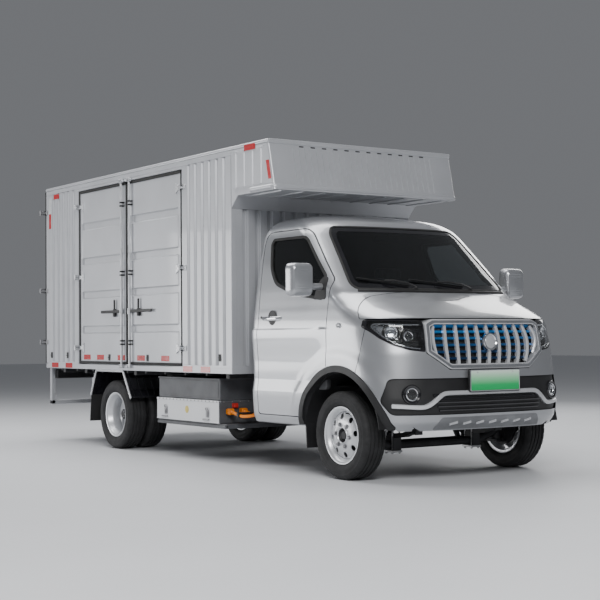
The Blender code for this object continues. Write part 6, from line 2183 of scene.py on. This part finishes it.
def stuff(pad):
    """Blows the pad up a little as cloth and keeps the result as its mesh."""
    scene = bpy.context.scene
    remesh = pad.modifiers.new("remesh", "REMESH")
    remesh.mode = "VOXEL"
    remesh.voxel_size = 0.010
    apply_modifiers(pad)
    start = np.array([vert.co for vert in pad.data.vertices])
    cloth_modifier = pad.modifiers.new("cloth", "CLOTH")
    settings = cloth_modifier.settings
    settings.quality = 4
    settings.use_pressure = True
    settings.uniform_pressure_force = 4
    settings.effector_weights.gravity = 0
    cloth_modifier.point_cache.frame_start, cloth_modifier.point_cache.frame_end = 1, FRAMES
    for step in range(1, FRAMES + 1):
        scene.frame_set(step)
    graph = bpy.context.evaluated_depsgraph_get()
    swollen = pad.evaluated_get(graph).to_mesh()
    moved = np.array([vert.co for vert in swollen.vertices]) - start
    size = np.linalg.norm(moved, axis=1, keepdims=True)
    moved *= np.minimum(1, MOST_SWELL / np.maximum(size, 1e-9))
    pad.modifiers.clear()
    for vert, place in zip(pad.data.vertices, start + moved):
        vert.co = place
    scene.frame_set(1)
    smooth = pad.modifiers.new("smooth", "SUBSURF")
    smooth.levels = smooth.render_levels = 1
    apply_modifiers(pad)


def cab_lining():
    """Floor mat, pedals, inner mirror and inner door panels."""
    mat = Shape().block((-0.640, 0.640), (0.120, 0.600), (0.6203, 0.628), 0.003)
    for x in np.arange(-0.60, 0.61, 0.030):
        mat.block((x - 0.006, x + 0.006), (0.16, 0.56), (0.627, 0.631), 0.001)
    piece("floor_mat", mat, RUBBER)
    pedals = Shape()
    for x in (0.30, 0.42):
        pedals.block((x - 0.025, x + 0.025), (0.200, 0.212), (0.700, 0.775), 0.004)
        pedals.tube([(x, 0.206, 0.770), (x, 0.150, 0.900)], 0.007, 8)
    piece("pedals", pedals, BLACK)
    mirror = Shape().prism("Y", rounded(((-0.115, 1.660), (0.115, 1.660), (0.108, 1.715), (-0.108, 1.715)),
                                        0.015), 0.505, 0.530, 0.004)
    mirror.tube([(0, 0.500, 1.715), (0, 0.480, 1.745)], 0.008, 10)
    piece("inner_mirror", mirror, BLACK)
    for side, way in SIDES:
        panel = Shape()
        panel.prism("X", rounded(((0.200, 0.600), (0.960, 0.600), (0.970, 1.120), (0.560, 1.180),
                                  (0.210, 1.110)), 0.04), *sorted((way * 0.735, way * 0.775)), 0.006)
        panel.block((way * 0.700, way * 0.745), (0.420, 0.800), (0.930, 0.965), 0.010)
        piece(f"door_panel_{side}", panel, TRIM_GREY, f"cab_door_{side}")


# ---- Stage ----


WORLD_STRENGTH = 0.27
LIGHTS = (  # name, place, aim, size, power
    ("over", (-1.0, 2.6, 7.5), (0, 0.4, 1), (6.0, 8.0), 800),
    ("front", (-5.5, -9.0, 6.0), (0, -1.5, 1.2), (4.0, 3.0), 820),
    ("side", (-8.5, 7.5, 1.45), (0, 0.8, 1.4), (7.0, 2.5), 330),
    ("rim", (7.0, 3.0, 4.5), (0, 0, 1.2), (5.0, 3.0), 200),
)
CAMERA_AT = (-6.191, -9.576, 0.968)
CAMERA_TURN = (0.5944, 0.0270, -0.0076)  # yaw, pitch, roll
FOCAL_MM = 81.8


def stage():
    """Pale floor and soft studio lights."""
    size = 40.0
    mesh = bpy.data.meshes.new("floor")
    mesh.from_pydata([(x, y, 0) for x, y in rectangle((-size, size), (-size, size))], [], [(0, 1, 2, 3)])
    ground = bpy.data.objects.new("floor", mesh)
    bpy.context.scene.collection.objects.link(ground)
    look = Look("floor", (0.62, 0.63, 0.65), 0.55)
    look.tint(look.noise(1.5, 3), 0.99, 1.01)
    mesh.materials.append(look.material)

    world = bpy.data.worlds.new("studio")
    bpy.context.scene.world = world
    world.use_nodes = True
    world.node_tree.nodes["Background"].inputs["Color"].default_value = (0.62, 0.64, 0.68, 1)
    world.node_tree.nodes["Background"].inputs["Strength"].default_value = WORLD_STRENGTH
    for name, place, aim_at, size, power in LIGHTS:
        light = bpy.data.lights.new(name, "AREA")
        light.shape = "RECTANGLE"
        light.size, light.size_y = size
        light.energy = power
        obj = bpy.data.objects.new(name, light)
        obj.location = place
        obj.rotation_euler = (Vector(aim_at) - Vector(place)).to_track_quat("-Z", "Y").to_euler()
        bpy.context.scene.collection.objects.link(obj)


def camera():
    """The photograph's viewpoint."""
    yaw, pitch, roll = CAMERA_TURN
    ahead = Vector((sin(yaw) * cos(pitch), cos(yaw) * cos(pitch), sin(pitch)))
    lens = bpy.data.cameras.new("view")
    lens.lens = FOCAL_MM
    lens.sensor_width = 36
    lens.clip_end = 100
    obj = bpy.data.objects.new("view", lens)
    turn = ahead.to_track_quat("-Z", "Y") @ Matrix.Rotation(roll, 3, "Z").to_quaternion()
    obj.location = CAMERA_AT
    obj.rotation_euler = turn.to_euler()
    bpy.context.scene.collection.objects.link(obj)
    bpy.context.scene.camera = obj


for build in (camera, stage, front_wheel, rear_wheels, running_gear, battery, cables, mudguards, underrun,
              walls, rails, roof, peak, reflectors, side_leaves, rear_end, cab_body, cab_doors,
              windscreen_glass, wipers, bonnet_lid, fender_trim, bumper, headlamps, grille, number_plate,
              mirrors, dashboard, steering, seats, cab_lining,):
    build()
